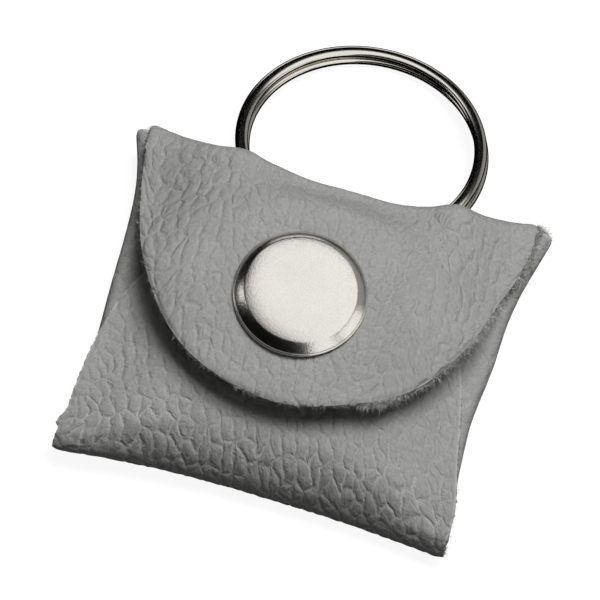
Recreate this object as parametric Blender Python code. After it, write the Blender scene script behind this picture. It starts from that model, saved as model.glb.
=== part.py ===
"""Folded leather pouch for one trolley coin, closed by a ring snap and carried on a split key ring.

The pouch is one die-cut blank folded without a stitch: a back panel, two side lobes, a front lobe and
a top flap. It lies on its back: +X runs along the top fold, +Y points from the pouch to the key ring,
+Z points out of the front, and the origin is the middle of the flat area that the back panel rests on.
"""
import math

import bmesh
import bpy
from mathutils import Vector

MM = 0.001
UP = (0, 0, 1)
HALF_TURN = math.pi
QUARTER_TURN = math.pi / 2

# Leather blank
LEATHER_THICK = 1.0 * MM
LAYER_GAP = 0.25 * MM           # air between two folded layers of the blank
PIECE_GAP = 0.25 * MM           # air between any two separate pieces that seat on each other
POCKET_DEPTH = 4.3 * MM         # clear height over the back panel below the stud's eyelet

# Plan of the folded back panel: half widths at mid height and at the corners, to the leather's outside
SIDE_REACH_MID = 21.6 * MM
SIDE_REACH_TOP = 23.3 * MM
SIDE_REACH_BOTTOM = 22.8 * MM
TOP_REACH_MID = 19.2 * MM
TOP_CORNER_REACH = 1.9 * MM     # how far the corners reach beyond the middle
TOP_REACH_CORNER = TOP_REACH_MID + TOP_CORNER_REACH
BOTTOM_REACH_MID = 19.6 * MM
BOTTOM_CORNER_REACH = 1.1 * MM
BOTTOM_REACH_CORNER = BOTTOM_REACH_MID + BOTTOM_CORNER_REACH
PINCUSHION_POWER = 2.5          # how late each edge flares towards its corners

# Folds: the back panel's middle lies flat, its edges lift, and each fold rolls over
EDGE_LIFT = 2.1 * MM
CORNER_LIFT = 0.8 * MM          # on top of the edge lift
TOP_LIFT_SHARE = 0.15           # the top edge stays low between its corners, where the coin goes in
SIDE_ROLL_MID = 1.0 * MM        # roll radius of the side folds at mid height, to mid leather
SIDE_ROLL_CORNER = 0.7 * MM
TOP_ROLL_MID = 2.9 * MM         # how far the top fold stands out beyond its crease
TOP_ROLL_CORNER = 1.2 * MM
BACK_FLAT_SHARE = 0.55          # share of the back panel's half size that stays flat
LOBE_FLAT_SHARE = 0.42
CREST_HEIGHT_SHARE = 0.45       # place of the top fold's crest between its lower and upper leather

# Lobes
LOBE_INSET = 0.3 * MM           # how far the front lobe stays inside the side folds' outside
BOTTOM_SPAN_INSET = 2.0 * MM    # how far the side lobes' curve stays inside the bottom fold
BOTTOM_SPAN = BOTTOM_REACH_MID - BOTTOM_SPAN_INSET
TOP_SPAN_INSET = 1.6 * MM       # and inside the line of the ring's holes
TOP_SPAN = TOP_REACH_MID - TOP_SPAN_INSET
SIDE_LOBE_POWER = 1.6
LEFT_LOBE_TIP = 4.0 * MM        # how far each side lobe passes the middle
RIGHT_LOBE_TIP = 5.6 * MM
FRONT_LOBE_HALF_WIDTH = SIDE_REACH_BOTTOM - LOBE_INSET
FRONT_LOBE_INSET = 9.0 * MM      # from the line of the ring's holes to the front lobe's tip
FRONT_LOBE_LENGTH = BOTTOM_REACH_MID + TOP_REACH_MID - FRONT_LOBE_INSET
FRONT_LOBE_POWER = 2.8
FRONT_LOBE_SHIFT = -0.4 * MM
LOBE_ROOT = 0.6 * MM            # straight run of a lobe's cut edge beside its fold
LAP_START = 16.0 * MM           # where the left lobe begins to climb over the right one
LAP_END = 6.5 * MM
LAP_FADE_START = 8.0 * MM
LAP_FADE_END = 16.0 * MM

# Flap
FLAP_INSET = 0.8 * MM           # how far the flap stays inside the side folds' outside
FLAP_HALF_WIDTH = SIDE_REACH_TOP - FLAP_INSET
FLAP_LENGTH = 31.0 * MM
FLAP_ROOT_RISE = 1.3 * MM       # centre of the flap's half ellipse, beyond the top fold
FLAP_ROOT_Y = TOP_REACH_MID + FLAP_ROOT_RISE
FLAP_TIP_LEAN = -0.5 * MM
FLAP_POWER = 2.0
FLAP_RIM_GAP = 0.5 * MM         # air between the flap's rim and the lobe below
FREE_RIM_RISE = 2.4 * MM        # more air in front, where the stiff leather stands off
FREE_RIM_START = 13.0 * MM
FREE_RIM_RUN = 12.0 * MM
BEND_SETBACK = 1.9 * MM         # from the line of the ring's holes to the bend
BEND_Y = TOP_REACH_MID - BEND_SETBACK  # line at which the flap bends open
BEND_GAP = 0.3 * MM
SEAM_GAP = 0.3 * MM             # between the back panel and the top fold, cut apart at their crease
FRONT_FADE_START = 7.0 * MM     # the front lobe ends under the flap here
FRONT_FADE_END = 13.0 * MM
FOLD_BULGE = 2.9 * MM           # extra height of the flap where the ring passes below it
BULGE_HALF_WIDTH = 13.0 * MM
BULGE_SIDE_RUN = 8.5 * MM
BULGE_START_Y = 5.0 * MM
BULGE_RUN = 10.0 * MM
FLAP_HOLD_X = 21.0 * MM         # reach of the dome round the snap
FLAP_HOLD_UP = 19.4 * MM
FLAP_HOLD_DOWN = 11.0 * MM
DOME_FLAT_SHARE = 0.42

# Ring snap
SNAP_X = -0.8 * MM
SNAP_Y = 1.8 * MM
CAP_RADIUS = 7.45 * MM
CAP_HEIGHT = 1.7 * MM
CAP_EDGE_RADIUS = 1.25 * MM
CAP_SHEET = 0.3 * MM
CAP_LIP_RADIUS = 5.9 * MM
CAP_LIP_HEIGHT = 0.3 * MM
CAP_BEAD = 0.12 * MM            # how far the rim's bead stands out
RIVET_FLANGE_RADIUS = 6.7 * MM
RIVET_SHEET = 0.35 * MM
RIVET_POST_RADIUS = 1.3 * MM
RIVET_BORE_RADIUS = 0.9 * MM
RIVET_LIP_RADIUS = 1.75 * MM
RIVET_LIP_THICK = 0.3 * MM
SOCKET_RADIUS = 5.6 * MM
SOCKET_SHEET = 0.4 * MM
SOCKET_LIP_THICK = 0.18 * MM
SPRING_WIRE_RADIUS = 0.25 * MM
SPRING_SPLIT = 0.5              # radians left open in the spring's circle
STUD_BASE_RADIUS = 4.8 * MM
STUD_BASE_THICK = 0.5 * MM
STUD_HEIGHT = 1.6 * MM
STUD_HEAD_RADIUS = 2.7 * MM
STUD_NECK_RADIUS = 2.4 * MM
STUD_BORE_RADIUS = 2.05 * MM
EYELET_FLANGE_RADIUS = 4.4 * MM
EYELET_SHEET = 0.4 * MM
EYELET_POST_RADIUS = 1.45 * MM
EYELET_BORE_RADIUS = 1.1 * MM
EYELET_LIP_RADIUS = 1.8 * MM
EYELET_LIP_THICK = 0.25 * MM

# Split key ring: two turns of flat wire
RING_MEAN_RADIUS = 13.4 * MM
RING_WIRE_WIDTH = 1.7 * MM
RING_WIRE_HEIGHT = 0.88 * MM
RING_WIRE_CORNER = 0.34 * MM
RING_COIL_GAP = 0.08 * MM
RING_X = 0.8 * MM
RING_STEP = math.radians(34)    # arc over which the wire steps from one coil to the other
HOLE_LINE_Y = TOP_REACH_MID     # line through the two holes in the top fold
RING_PROUD = 5.25 * MM          # from the line of the holes out to the ring's centre
RING_Y = HOLE_LINE_Y + RING_PROUD
HOLE_HEIGHT = 6.45 * MM         # of the ring's middle on the line of the holes
RING_OUTER_RADIUS = RING_MEAN_RADIUS + RING_WIRE_WIDTH / 2
RING_HALF_STACK = RING_WIRE_HEIGHT + RING_COIL_GAP / 2
RING_TILT = math.asin((HOLE_HEIGHT - RING_HALF_STACK) / (RING_OUTER_RADIUS + RING_PROUD))
HOLE_CLEARANCE = 0.35 * MM
HOLE_DEPTH = 6.0 * MM            # length of the cutter, well past both faces of the leather
HOLE_SQUARENESS = 0.4           # 0 is an oval, 1 a rectangle

# Fineness of the model
PANEL_COLUMNS = 18
PANEL_ROWS = 16
ROLL_STEPS = 6
LOBE_STEPS = 9
FLAP_STEPS = 14
TURN_STEPS = 28
CORNER_STEPS = 4
RING_STEPS_PER_TURN = 44
SPRING_STEPS = 24
SPRING_SIDES = 6
WIRE_CORNER_STEPS = 2
SMOOTH_ANGLE = math.radians(40)  # sharper edges keep a hard shade

# Heights that follow from the stack at the snap
LAYER_STEP = LEATHER_THICK + LAYER_GAP
HALF_LEATHER = LEATHER_THICK / 2
INNER_LOBE_HEIGHT = LEATHER_THICK + POCKET_DEPTH + EYELET_SHEET + PIECE_GAP + HALF_LEATHER
FRONT_LOBE_TOP = INNER_LOBE_HEIGHT + 2 * LAYER_STEP + HALF_LEATHER
STUD_BASE = FRONT_LOBE_TOP + PIECE_GAP
STUD_TOP = STUD_BASE + STUD_BASE_THICK + STUD_HEIGHT
SOCKET_CEILING = STUD_TOP + PIECE_GAP
SOCKET_TOP = SOCKET_CEILING + SOCKET_SHEET
FLAP_SNAP_HEIGHT = SOCKET_TOP + PIECE_GAP + HALF_LEATHER
CAP_BASE = FLAP_SNAP_HEIGHT + HALF_LEATHER + PIECE_GAP
EDGE_BACK_HEIGHT = HALF_LEATHER + EDGE_LIFT


def ease(share):
    """A smooth step from 0 to 1."""
    share = min(1.0, max(0.0, share))
    return share * share * (3 - 2 * share)


def lift(share, flat_share):
    """0 over the flat middle of a panel, rising smoothly to 1 at its edge."""
    return ease((abs(share) - flat_share) / (1 - flat_share))


def mix(start, end, share):
    return start + (end - start) * share


def flare(share):
    return min(1.0, abs(share)) ** PINCUSHION_POWER


def side_roll(up_share):
    return mix(SIDE_ROLL_MID, SIDE_ROLL_CORNER, lift(up_share, BACK_FLAT_SHARE))


def top_roll(across_share):
    return mix(TOP_ROLL_MID, TOP_ROLL_CORNER, flare(across_share))


def bottom_roll(across_share):
    """Half the height between the back panel and the front lobe at the bottom crease."""
    corner_rise = CORNER_LIFT * lift(across_share, BACK_FLAT_SHARE)
    return (lobe_edge_height(1) + LAYER_STEP - EDGE_BACK_HEIGHT - corner_rise) / 2


def side_crease(up_share):
    """Distance of the side crease from the middle line."""
    corner = SIDE_REACH_TOP if up_share > 0 else SIDE_REACH_BOTTOM
    return mix(SIDE_REACH_MID, corner, flare(up_share)) - HALF_LEATHER - side_roll(up_share)


def top_crease(across_share):
    reach = mix(TOP_REACH_MID, TOP_REACH_CORNER, flare(across_share))
    return reach - HALF_LEATHER - top_roll(across_share)


def bottom_crease(across_share):
    reach = mix(BOTTOM_REACH_MID, BOTTOM_REACH_CORNER, flare(across_share))
    return reach - HALF_LEATHER - bottom_roll(across_share)


def panel_shares(x, y):
    """Where a point lies between the middle lines and the creases, -1 to 1 each way."""
    up_share = y / (top_crease(1) if y > 0 else bottom_crease(1))
    across_share = max(-1.0, min(1.0, x / side_crease(up_share)))
    up_share = y / (top_crease(across_share) if y > 0 else bottom_crease(across_share))
    return across_share, max(-1.0, min(1.0, up_share))


def panel_point(across_share, up_share):
    x = across_share * side_crease(up_share)
    y = up_share * (top_crease(across_share) if up_share > 0 else bottom_crease(across_share))
    return x, y


def back_height(across_share, up_share):
    across = lift(across_share, BACK_FLAT_SHARE)
    up = lift(up_share, BACK_FLAT_SHARE)
    up_lift = up * TOP_LIFT_SHARE if up_share > 0 else up
    edge = 1 - (1 - across) * (1 - up_lift)
    return HALF_LEATHER + EDGE_LIFT * edge + CORNER_LIFT * across * up


def lobe_edge_height(up_share):
    """Height of a side lobe where it leaves its fold."""
    corner_rise = CORNER_LIFT * lift(up_share, BACK_FLAT_SHARE)
    return EDGE_BACK_HEIGHT + corner_rise + 2 * side_roll(up_share)


def inner_height(x, y):
    across_share, up_share = panel_shares(x, y)
    middle = (1 - lift(across_share, LOBE_FLAT_SHARE)) * (1 - lift(up_share, LOBE_FLAT_SHARE))
    return mix(lobe_edge_height(up_share), INNER_LOBE_HEIGHT, middle)


def lap_step(x, y):
    """How far the left lobe and what lies on it climb over the right lobe."""
    across = ease((x + LAP_START) / (LAP_START - LAP_END))
    along = 1 - ease((abs(y) - LAP_FADE_START) / (LAP_FADE_END - LAP_FADE_START))
    return LAYER_STEP * across * along


def left_lobe_height(x, y):
    return inner_height(x, y) + lap_step(x, y)


def right_side_fade(x):
    """The front lobe comes down again where only the right lobe lies below it."""
    return 1 - ease((x - LAP_END) / (LAP_START - LAP_END))


def front_lobe_height(x, y):
    return inner_height(x, y) + lap_step(x, y) * right_side_fade(x) + LAYER_STEP


def flap_height(x, y):
    under = inner_height(x, y) + lap_step(x, y) * right_side_fade(x)
    front = 1 - ease((y - FRONT_FADE_START) / (FRONT_FADE_END - FRONT_FADE_START))
    rim = under + LAYER_STEP * front + LEATHER_THICK + FLAP_RIM_GAP
    rim += FREE_RIM_RISE * ease((FREE_RIM_START - y) / FREE_RIM_RUN)
    bulge_across = 1 - ease((abs(x) - BULGE_HALF_WIDTH) / BULGE_SIDE_RUN)
    rim += FOLD_BULGE * bulge_across * ease((y - BULGE_START_Y) / BULGE_RUN)
    hold_y = FLAP_HOLD_UP if y > SNAP_Y else FLAP_HOLD_DOWN
    reach = math.hypot((x - SNAP_X) / FLAP_HOLD_X, (y - SNAP_Y) / hold_y)
    return mix(FLAP_SNAP_HEIGHT, rim, lift(reach, DOME_FLAT_SHARE))


def superellipse(turn, half_width, length, power):
    """A point of a half superellipse, from its right end (0) over its tip to its left end (half turn)."""
    across = math.copysign(abs(math.cos(turn)) ** (2 / power), math.cos(turn))
    return half_width * across, length * abs(math.sin(turn)) ** (2 / power)


def spread(count):
    """Shares from -1 to 1, closer together near both ends."""
    return [math.sin(QUARTER_TURN * (2 * step / count - 1)) for step in range(count + 1)]


def root_turn(length, power):
    """Turn at which a lobe's outline stands one LOBE_ROOT beyond its base."""
    return math.asin((LOBE_ROOT / length) ** (power / 2))


def add_grid(mesh, rows, normals, first_row=None):
    """Faces between rows of (point, outward normal); first_row reuses vertices of the mesh."""
    above = first_row
    for row in rows:
        here = []
        for point, normal in row:
            vert = mesh.verts.new(point)
            normals[vert] = Vector(normal)
            here.append(vert)
        if above is not None:
            for left in range(len(here) - 1):
                mesh.faces.new((above[left], above[left + 1], here[left + 1], here[left]))
        above = here
    return above


def thickened(sheet, normals):
    """A closed mesh: the sheet's outer face, its inner face and the cut edge between them."""
    mesh = bmesh.new()
    outer = {}
    inner = {}
    for vert in sheet.verts:
        outer[vert] = mesh.verts.new(vert.co + normals[vert] * HALF_LEATHER)
        inner[vert] = mesh.verts.new(vert.co - normals[vert] * HALF_LEATHER)
    for face in sheet.faces:
        mesh.faces.new([outer[vert] for vert in face.verts])
        mesh.faces.new([inner[vert] for vert in reversed(face.verts)])
    for edge in sheet.edges:
        if edge.is_boundary:
            start, end = edge.verts
            mesh.faces.new((outer[start], outer[end], inner[end], inner[start]))
    sheet.free()
    return mesh


def finished(name, mesh, material):
    """An object from a bmesh, with its faces pointing out and its round sides smooth."""
    mesh.normal_update()
    bmesh.ops.recalc_face_normals(mesh, faces=mesh.faces)
    data = bpy.data.meshes.new(name)
    mesh.to_mesh(data)
    mesh.free()
    data.shade_smooth()
    data.set_sharp_from_angle(angle=SMOOTH_ANGLE)
    data.materials.append(material)
    item = bpy.data.objects.new(name, data)
    bpy.context.scene.collection.objects.link(item)
    return item


def cut(item, cutter):
    cutter.hide_render = True
    cutter.display_type = "WIRE"
    hole = item.modifiers.new(cutter.name, "BOOLEAN")
    hole.operation = "DIFFERENCE"
    hole.solver = "EXACT"
    hole.object = cutter


def finish_material(name, colour, roughness, metallic):
    material = bpy.data.materials.new(name)
    material.use_nodes = True
    surface = material.node_tree.nodes["Principled BSDF"]
    surface.inputs["Base Color"].default_value = (*colour, 1)
    surface.inputs["Roughness"].default_value = roughness
    surface.inputs["Metallic"].default_value = metallic
    return material


def side_lobe_rows(side, up_shares):
    """The side fold and its lobe, as rows that run along the fold."""
    tip = LEFT_LOBE_TIP if side < 0 else RIGHT_LOBE_TIP
    reach = side_crease(0) + tip
    height = left_lobe_height if side < 0 else inner_height
    rows = []
    for step in range(1, ROLL_STEPS + 1):
        turn = HALF_TURN * step / ROLL_STEPS
        row = []
        for up_share in up_shares:
            x, y = panel_point(1, up_share)
            roll = side_roll(up_share)
            rise = back_height(1, up_share) + roll * (1 - math.cos(turn))
            point = (side * (x + roll * math.sin(turn)), y, rise)
            row.append((point, (side * math.sin(turn), 0, -math.cos(turn))))
        rows.append(row)
    for step in range(1, LOBE_STEPS + 1):
        row = []
        for up_share in up_shares:
            crease_x, crease_y = panel_point(1, up_share)
            end_y = up_share * (TOP_SPAN if up_share > 0 else BOTTOM_SPAN)
            run = max(LOBE_ROOT, reach * (1 - abs(up_share) ** SIDE_LOBE_POWER) ** (1 / SIDE_LOBE_POWER))
            share = step / LOBE_STEPS
            x = side * (crease_x - run * share)
            y = mix(crease_y, end_y, share * run / reach)
            row.append(((x, y, height(x, y)), UP))
        rows.append(row)
    return rows


def front_lobe_rows(across_shares):
    rows = []
    for step in range(1, ROLL_STEPS + 1):
        turn = HALF_TURN * step / ROLL_STEPS
        row = []
        for across_share in across_shares:
            x, y = panel_point(across_share, -1)
            roll = (front_lobe_height(x, y) - back_height(across_share, -1)) / 2
            rise = back_height(across_share, -1) + roll * (1 - math.cos(turn))
            row.append(((x, y - roll * math.sin(turn), rise), (0, -math.sin(turn), -math.cos(turn))))
        rows.append(row)
    first_turn = root_turn(FRONT_LOBE_LENGTH, FRONT_LOBE_POWER)
    for step in range(1, LOBE_STEPS + 1):
        row = []
        for across_share in across_shares:
            start_x, start_y = panel_point(across_share, -1)
            turn = min(HALF_TURN - first_turn, max(first_turn, math.acos(across_share)))
            end_x, end_y = superellipse(turn, FRONT_LOBE_HALF_WIDTH, FRONT_LOBE_LENGTH, FRONT_LOBE_POWER)
            end_y = max(end_y - BOTTOM_REACH_MID, start_y + LOBE_ROOT)
            share = step / LOBE_STEPS
            x = mix(start_x, end_x + FRONT_LOBE_SHIFT, share)
            y = mix(start_y, end_y, share)
            row.append(((x, y, front_lobe_height(x, y)), UP))
        rows.append(row)
    return rows


def bend_edge(across_share, y):
    """A point on the leather at the line where the flap bends, on either side of the gap."""
    turn = math.asin((FLAP_ROOT_Y - y) / FLAP_LENGTH)
    x = across_share * FLAP_HALF_WIDTH * math.cos(turn)
    return x, y, flap_height(x, y)


def top_fold_rows(across_shares):
    """The top fold in two quarter rolls: up to its crest, then over to the bend."""
    rows = []
    for step in range(2 * ROLL_STEPS + 1):
        turn = HALF_TURN * step / (2 * ROLL_STEPS)
        row = []
        for across_share in across_shares:
            x, y = panel_point(across_share, 1)
            low = back_height(across_share, 1)
            end_x, end_y, high = bend_edge(across_share, BEND_Y + BEND_GAP / 2)
            crest = mix(low, high, CREST_HEIGHT_SHARE)
            crest_y = y + top_roll(across_share)
            below_crest = turn < QUARTER_TURN
            place_x = mix(x, end_x, step / (2 * ROLL_STEPS))
            place_y = mix(y + SEAM_GAP if below_crest else end_y, crest_y, math.sin(turn))
            place_z = mix(crest, low if below_crest else high, abs(math.cos(turn)))
            row.append(((place_x, place_y, place_z), (0, math.sin(turn), -math.cos(turn))))
        rows.append(row)
    return rows


def make_top_fold(material):
    """The fold that carries the ring: the same blank, between the back panel and the flap."""
    sheet = bmesh.new()
    normals = {}
    add_grid(sheet, top_fold_rows(spread(PANEL_COLUMNS)), normals)
    fold = finished("top_fold", thickened(sheet, normals), material)
    for side, name in ((-1, "left_ring_punch"), (1, "right_ring_punch")):
        cut(fold, make_ring_punch(name, side))
    return fold


def make_pouch_body(material):
    """Back panel, side lobes and front lobe: one sheet, given its thickness at the end."""
    sheet = bmesh.new()
    normals = {}
    across_shares = spread(PANEL_COLUMNS)
    up_shares = spread(PANEL_ROWS)
    panel = []
    for up_share in up_shares:
        row = []
        for across_share in across_shares:
            x, y = panel_point(across_share, up_share)
            vert = sheet.verts.new((x, y, back_height(across_share, up_share)))
            normals[vert] = -Vector(UP)
            row.append(vert)
        panel.append(row)
    for low in range(PANEL_ROWS):
        for left in range(PANEL_COLUMNS):
            sheet.faces.new((panel[low][left], panel[low][left + 1], panel[low + 1][left + 1],
                             panel[low + 1][left]))
    add_grid(sheet, side_lobe_rows(-1, up_shares), normals, [row[0] for row in panel])
    add_grid(sheet, side_lobe_rows(1, up_shares), normals, [row[-1] for row in panel])
    add_grid(sheet, front_lobe_rows(across_shares), normals, panel[0])
    bmesh.ops.recalc_face_normals(sheet, faces=sheet.faces)
    body = finished("pouch_body", thickened(sheet, normals), material)
    lap_low = INNER_LOBE_HEIGHT - LEATHER_THICK
    cut(body, make_punch("stud_punch", EYELET_POST_RADIUS + PIECE_GAP, lap_low, STUD_BASE + LEATHER_THICK))
    return body


def make_flap(material):
    sheet = bmesh.new()
    normals = {}
    across_shares = spread(PANEL_COLUMNS)
    rear_y = BEND_Y - BEND_GAP / 2
    first_turn = math.asin((FLAP_ROOT_Y - rear_y + LOBE_ROOT) / FLAP_LENGTH)
    rows = []
    for step in range(FLAP_STEPS + 1):
        share = step / FLAP_STEPS
        row = []
        for across_share in across_shares:
            start_x, start_y, _ = bend_edge(across_share, rear_y)
            turn = min(HALF_TURN - first_turn, max(first_turn, math.acos(across_share)))
            end_x, end_y = superellipse(turn, FLAP_HALF_WIDTH, FLAP_LENGTH, FLAP_POWER)
            x = mix(start_x, end_x, share)
            y = mix(start_y, FLAP_ROOT_Y - end_y, share)
            x += FLAP_TIP_LEAN * (rear_y - y) / FLAP_LENGTH
            row.append(((x, y, flap_height(x, y)), UP))
        rows.append(row)
    add_grid(sheet, rows, normals)
    flap = finished("flap", thickened(sheet, normals), material)
    cut(flap, make_punch("rivet_punch", RIVET_POST_RADIUS + PIECE_GAP, SOCKET_TOP, CAP_BASE + PIECE_GAP))
    return flap


def make_punch(name, radius, low, high):
    mesh = bmesh.new()
    bmesh.ops.create_cone(mesh, cap_ends=True, segments=TURN_STEPS, radius1=radius, radius2=radius,
                          depth=high - low)
    bmesh.ops.translate(mesh, verts=mesh.verts, vec=(SNAP_X, SNAP_Y, (low + high) / 2))
    return finished(name, mesh, None)


def ring_frame():
    """Centre, across, along and normal of the key ring, whose far side rests on the table."""
    across = Vector((1, 0, 0))
    along = Vector((0, math.cos(RING_TILT), -math.sin(RING_TILT)))
    normal = across.cross(along)
    drop = RING_OUTER_RADIUS * math.sin(RING_TILT)
    centre = Vector((RING_X, RING_Y, drop + RING_HALF_STACK * math.cos(RING_TILT)))
    return centre, across, along, normal


def make_ring_punch(name, side):
    """An oval hole in the top fold, along the ring's own direction there."""
    centre, across, along, normal = ring_frame()
    depth = (RING_Y - HOLE_LINE_Y) / math.cos(RING_TILT)
    half_chord = math.sqrt(RING_MEAN_RADIUS ** 2 - depth ** 2)
    place = centre + across * side * half_chord - along * depth
    outward = (across * side * half_chord - along * depth).normalized()
    forward = normal.cross(outward)
    half_width = RING_WIRE_WIDTH / 2 + HOLE_CLEARANCE
    half_height = RING_HALF_STACK + HOLE_CLEARANCE
    mesh = bmesh.new()
    bmesh.ops.create_cone(mesh, cap_ends=True, segments=TURN_STEPS, radius1=1, radius2=1, depth=1)
    for vert in mesh.verts:
        share = vert.co.copy()
        stretch_share = 1 / max(abs(share.x), abs(share.y)) ** HOLE_SQUARENESS
        vert.co = (place + outward * share.x * half_width * stretch_share
                   + normal * share.y * half_height * stretch_share + forward * share.z * HOLE_DEPTH)
    return finished(name, mesh, None)


def turned(name, profile, base, material):
    """A piece turned round the snap's axis; its profile is a closed line of (radius, height)."""
    mesh = bmesh.new()
    rings = []
    for radius, height in profile:
        if radius > 0:
            rings.append([mesh.verts.new((SNAP_X + radius * math.cos(2 * HALF_TURN * step / TURN_STEPS),
                                          SNAP_Y + radius * math.sin(2 * HALF_TURN * step / TURN_STEPS),
                                          base + height)) for step in range(TURN_STEPS)])
        else:
            rings.append([mesh.verts.new((SNAP_X, SNAP_Y, base + height))])
    open_profile = profile[0][0] == 0
    pairs = zip(rings, rings[1:] + ([] if open_profile else [rings[0]]))
    for lower, upper in pairs:
        for step in range(TURN_STEPS):
            after = (step + 1) % TURN_STEPS
            corners = [lower[step % len(lower)], lower[after % len(lower)],
                       upper[after % len(upper)], upper[step % len(upper)]]
            kept = []
            for corner in corners:
                if corner not in kept:
                    kept.append(corner)
            mesh.faces.new(kept)
    return finished(name, mesh, material)


def arc_points(centre_r, centre_z, radius, start_degrees, end_degrees):
    """A rounded corner of a turned profile."""
    points = []
    for step in range(CORNER_STEPS + 1):
        turn = math.radians(mix(start_degrees, end_degrees, step / CORNER_STEPS))
        points.append((centre_r + radius * math.cos(turn), centre_z + radius * math.sin(turn)))
    return points


def make_snap_cap(material):
    """A drawn shell with a flat top, a rounded edge and a rim turned in under the rivet's flange."""
    inner_radius = CAP_RADIUS - CAP_SHEET
    flat_radius = CAP_RADIUS - CAP_EDGE_RADIUS
    centre_z = CAP_HEIGHT - CAP_EDGE_RADIUS
    bead_radius = CAP_LIP_HEIGHT / 2
    profile = [(0, CAP_HEIGHT)]
    profile += arc_points(flat_radius, centre_z, CAP_EDGE_RADIUS, 90, 0)
    profile += arc_points(CAP_RADIUS + CAP_BEAD - bead_radius, bead_radius, bead_radius, 90, -90)
    profile += [(CAP_LIP_RADIUS, 0), (CAP_LIP_RADIUS, CAP_LIP_HEIGHT), (inner_radius, CAP_LIP_HEIGHT)]
    profile += arc_points(flat_radius, centre_z, CAP_EDGE_RADIUS - CAP_SHEET, 0, 90)
    profile += [(0, CAP_HEIGHT - CAP_SHEET)]
    return turned("snap_cap", profile, CAP_BASE, material)


def make_cap_rivet(material):
    """A flange inside the cap and a tube through the flap, flared under the socket's plate."""
    flange_low = CAP_LIP_HEIGHT + PIECE_GAP / 2
    flange_high = flange_low + RIVET_SHEET
    lip_high = SOCKET_CEILING - PIECE_GAP - CAP_BASE
    lip_low = lip_high - RIVET_LIP_THICK
    profile = [(0, flange_high), (RIVET_FLANGE_RADIUS, flange_high), (RIVET_FLANGE_RADIUS, flange_low),
               (RIVET_POST_RADIUS, flange_low), (RIVET_POST_RADIUS, lip_high),
               (RIVET_LIP_RADIUS, lip_high), (RIVET_LIP_RADIUS, lip_low), (RIVET_BORE_RADIUS, lip_low),
               (RIVET_BORE_RADIUS, flange_low), (0, flange_low)]
    return turned("cap_rivet", profile, CAP_BASE, material)


def spring_height():
    """The ring spring lies round the stud's neck."""
    return STUD_BASE + STUD_BASE_THICK + STUD_HEIGHT / 2


def make_snap_socket(material):
    """A pressed dish with a hole for the rivet and a groove for the spring, open below."""
    hole = RIVET_POST_RADIUS + PIECE_GAP / 2
    mouth = STUD_HEAD_RADIUS + PIECE_GAP
    rim_low = STUD_BASE + STUD_BASE_THICK + PIECE_GAP - SOCKET_CEILING
    groove_low = rim_low + SOCKET_LIP_THICK
    groove_high = spring_height() + SPRING_WIRE_RADIUS + PIECE_GAP / 2 - SOCKET_CEILING
    groove = mouth + 2 * SPRING_WIRE_RADIUS + PIECE_GAP / 2
    well = groove + SOCKET_SHEET
    profile = [(hole, SOCKET_SHEET), (well, SOCKET_SHEET), (SOCKET_RADIUS, SOCKET_SHEET / 2)]
    profile += [(SOCKET_RADIUS, -SOCKET_SHEET / 2), (well, groove_high), (well, rim_low), (mouth, rim_low)]
    profile += [(mouth, groove_low), (groove, groove_low), (groove, groove_high), (mouth, groove_high)]
    profile += [(mouth, 0), (hole, 0)]
    return turned("snap_socket", profile, SOCKET_CEILING, material)


def make_socket_spring(material):
    """A split circle of round wire in the socket's groove."""
    centre_radius = STUD_HEAD_RADIUS + PIECE_GAP / 4 + SPRING_WIRE_RADIUS
    mesh = bmesh.new()
    loops = []
    for step in range(SPRING_STEPS + 1):
        turn = SPRING_SPLIT / 2 + (2 * HALF_TURN - SPRING_SPLIT) * step / SPRING_STEPS
        loop = []
        for side in range(SPRING_SIDES):
            around = 2 * HALF_TURN * side / SPRING_SIDES
            radius = centre_radius + SPRING_WIRE_RADIUS * math.cos(around)
            loop.append(mesh.verts.new((SNAP_X + radius * math.cos(turn), SNAP_Y + radius * math.sin(turn),
                                        spring_height() + SPRING_WIRE_RADIUS * math.sin(around))))
        loops.append(loop)
    close_tube(mesh, loops)
    return finished("socket_spring", mesh, material)


def close_tube(mesh, loops):
    """Skin between the loops of a tube, and a face over each end."""
    for here, after in zip(loops, loops[1:]):
        for corner in range(len(here)):
            beside = (corner + 1) % len(here)
            mesh.faces.new((here[corner], here[beside], after[beside], after[corner]))
    mesh.faces.new(loops[0])
    mesh.faces.new(list(reversed(loops[-1])))


def make_snap_stud(material):
    """A flange on the front lobe and a hollow post whose head snaps into the spring."""
    head = STUD_BASE_THICK + STUD_HEIGHT
    neck_low = STUD_BASE_THICK + PIECE_GAP
    neck_high = head - (STUD_HEAD_RADIUS - STUD_NECK_RADIUS) - PIECE_GAP
    hole = EYELET_POST_RADIUS + PIECE_GAP / 2
    profile = [(hole, 0), (STUD_BASE_RADIUS, 0), (STUD_BASE_RADIUS, STUD_BASE_THICK / 2),
               (STUD_HEAD_RADIUS, STUD_BASE_THICK), (STUD_NECK_RADIUS, neck_low),
               (STUD_NECK_RADIUS, neck_high), (STUD_HEAD_RADIUS, head - PIECE_GAP),
               (STUD_HEAD_RADIUS, head - PIECE_GAP / 2), (STUD_NECK_RADIUS, head),
               (STUD_BORE_RADIUS, head), (STUD_BORE_RADIUS, STUD_BASE_THICK), (hole, STUD_BASE_THICK)]
    return turned("snap_stud", profile, STUD_BASE, material)


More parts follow.
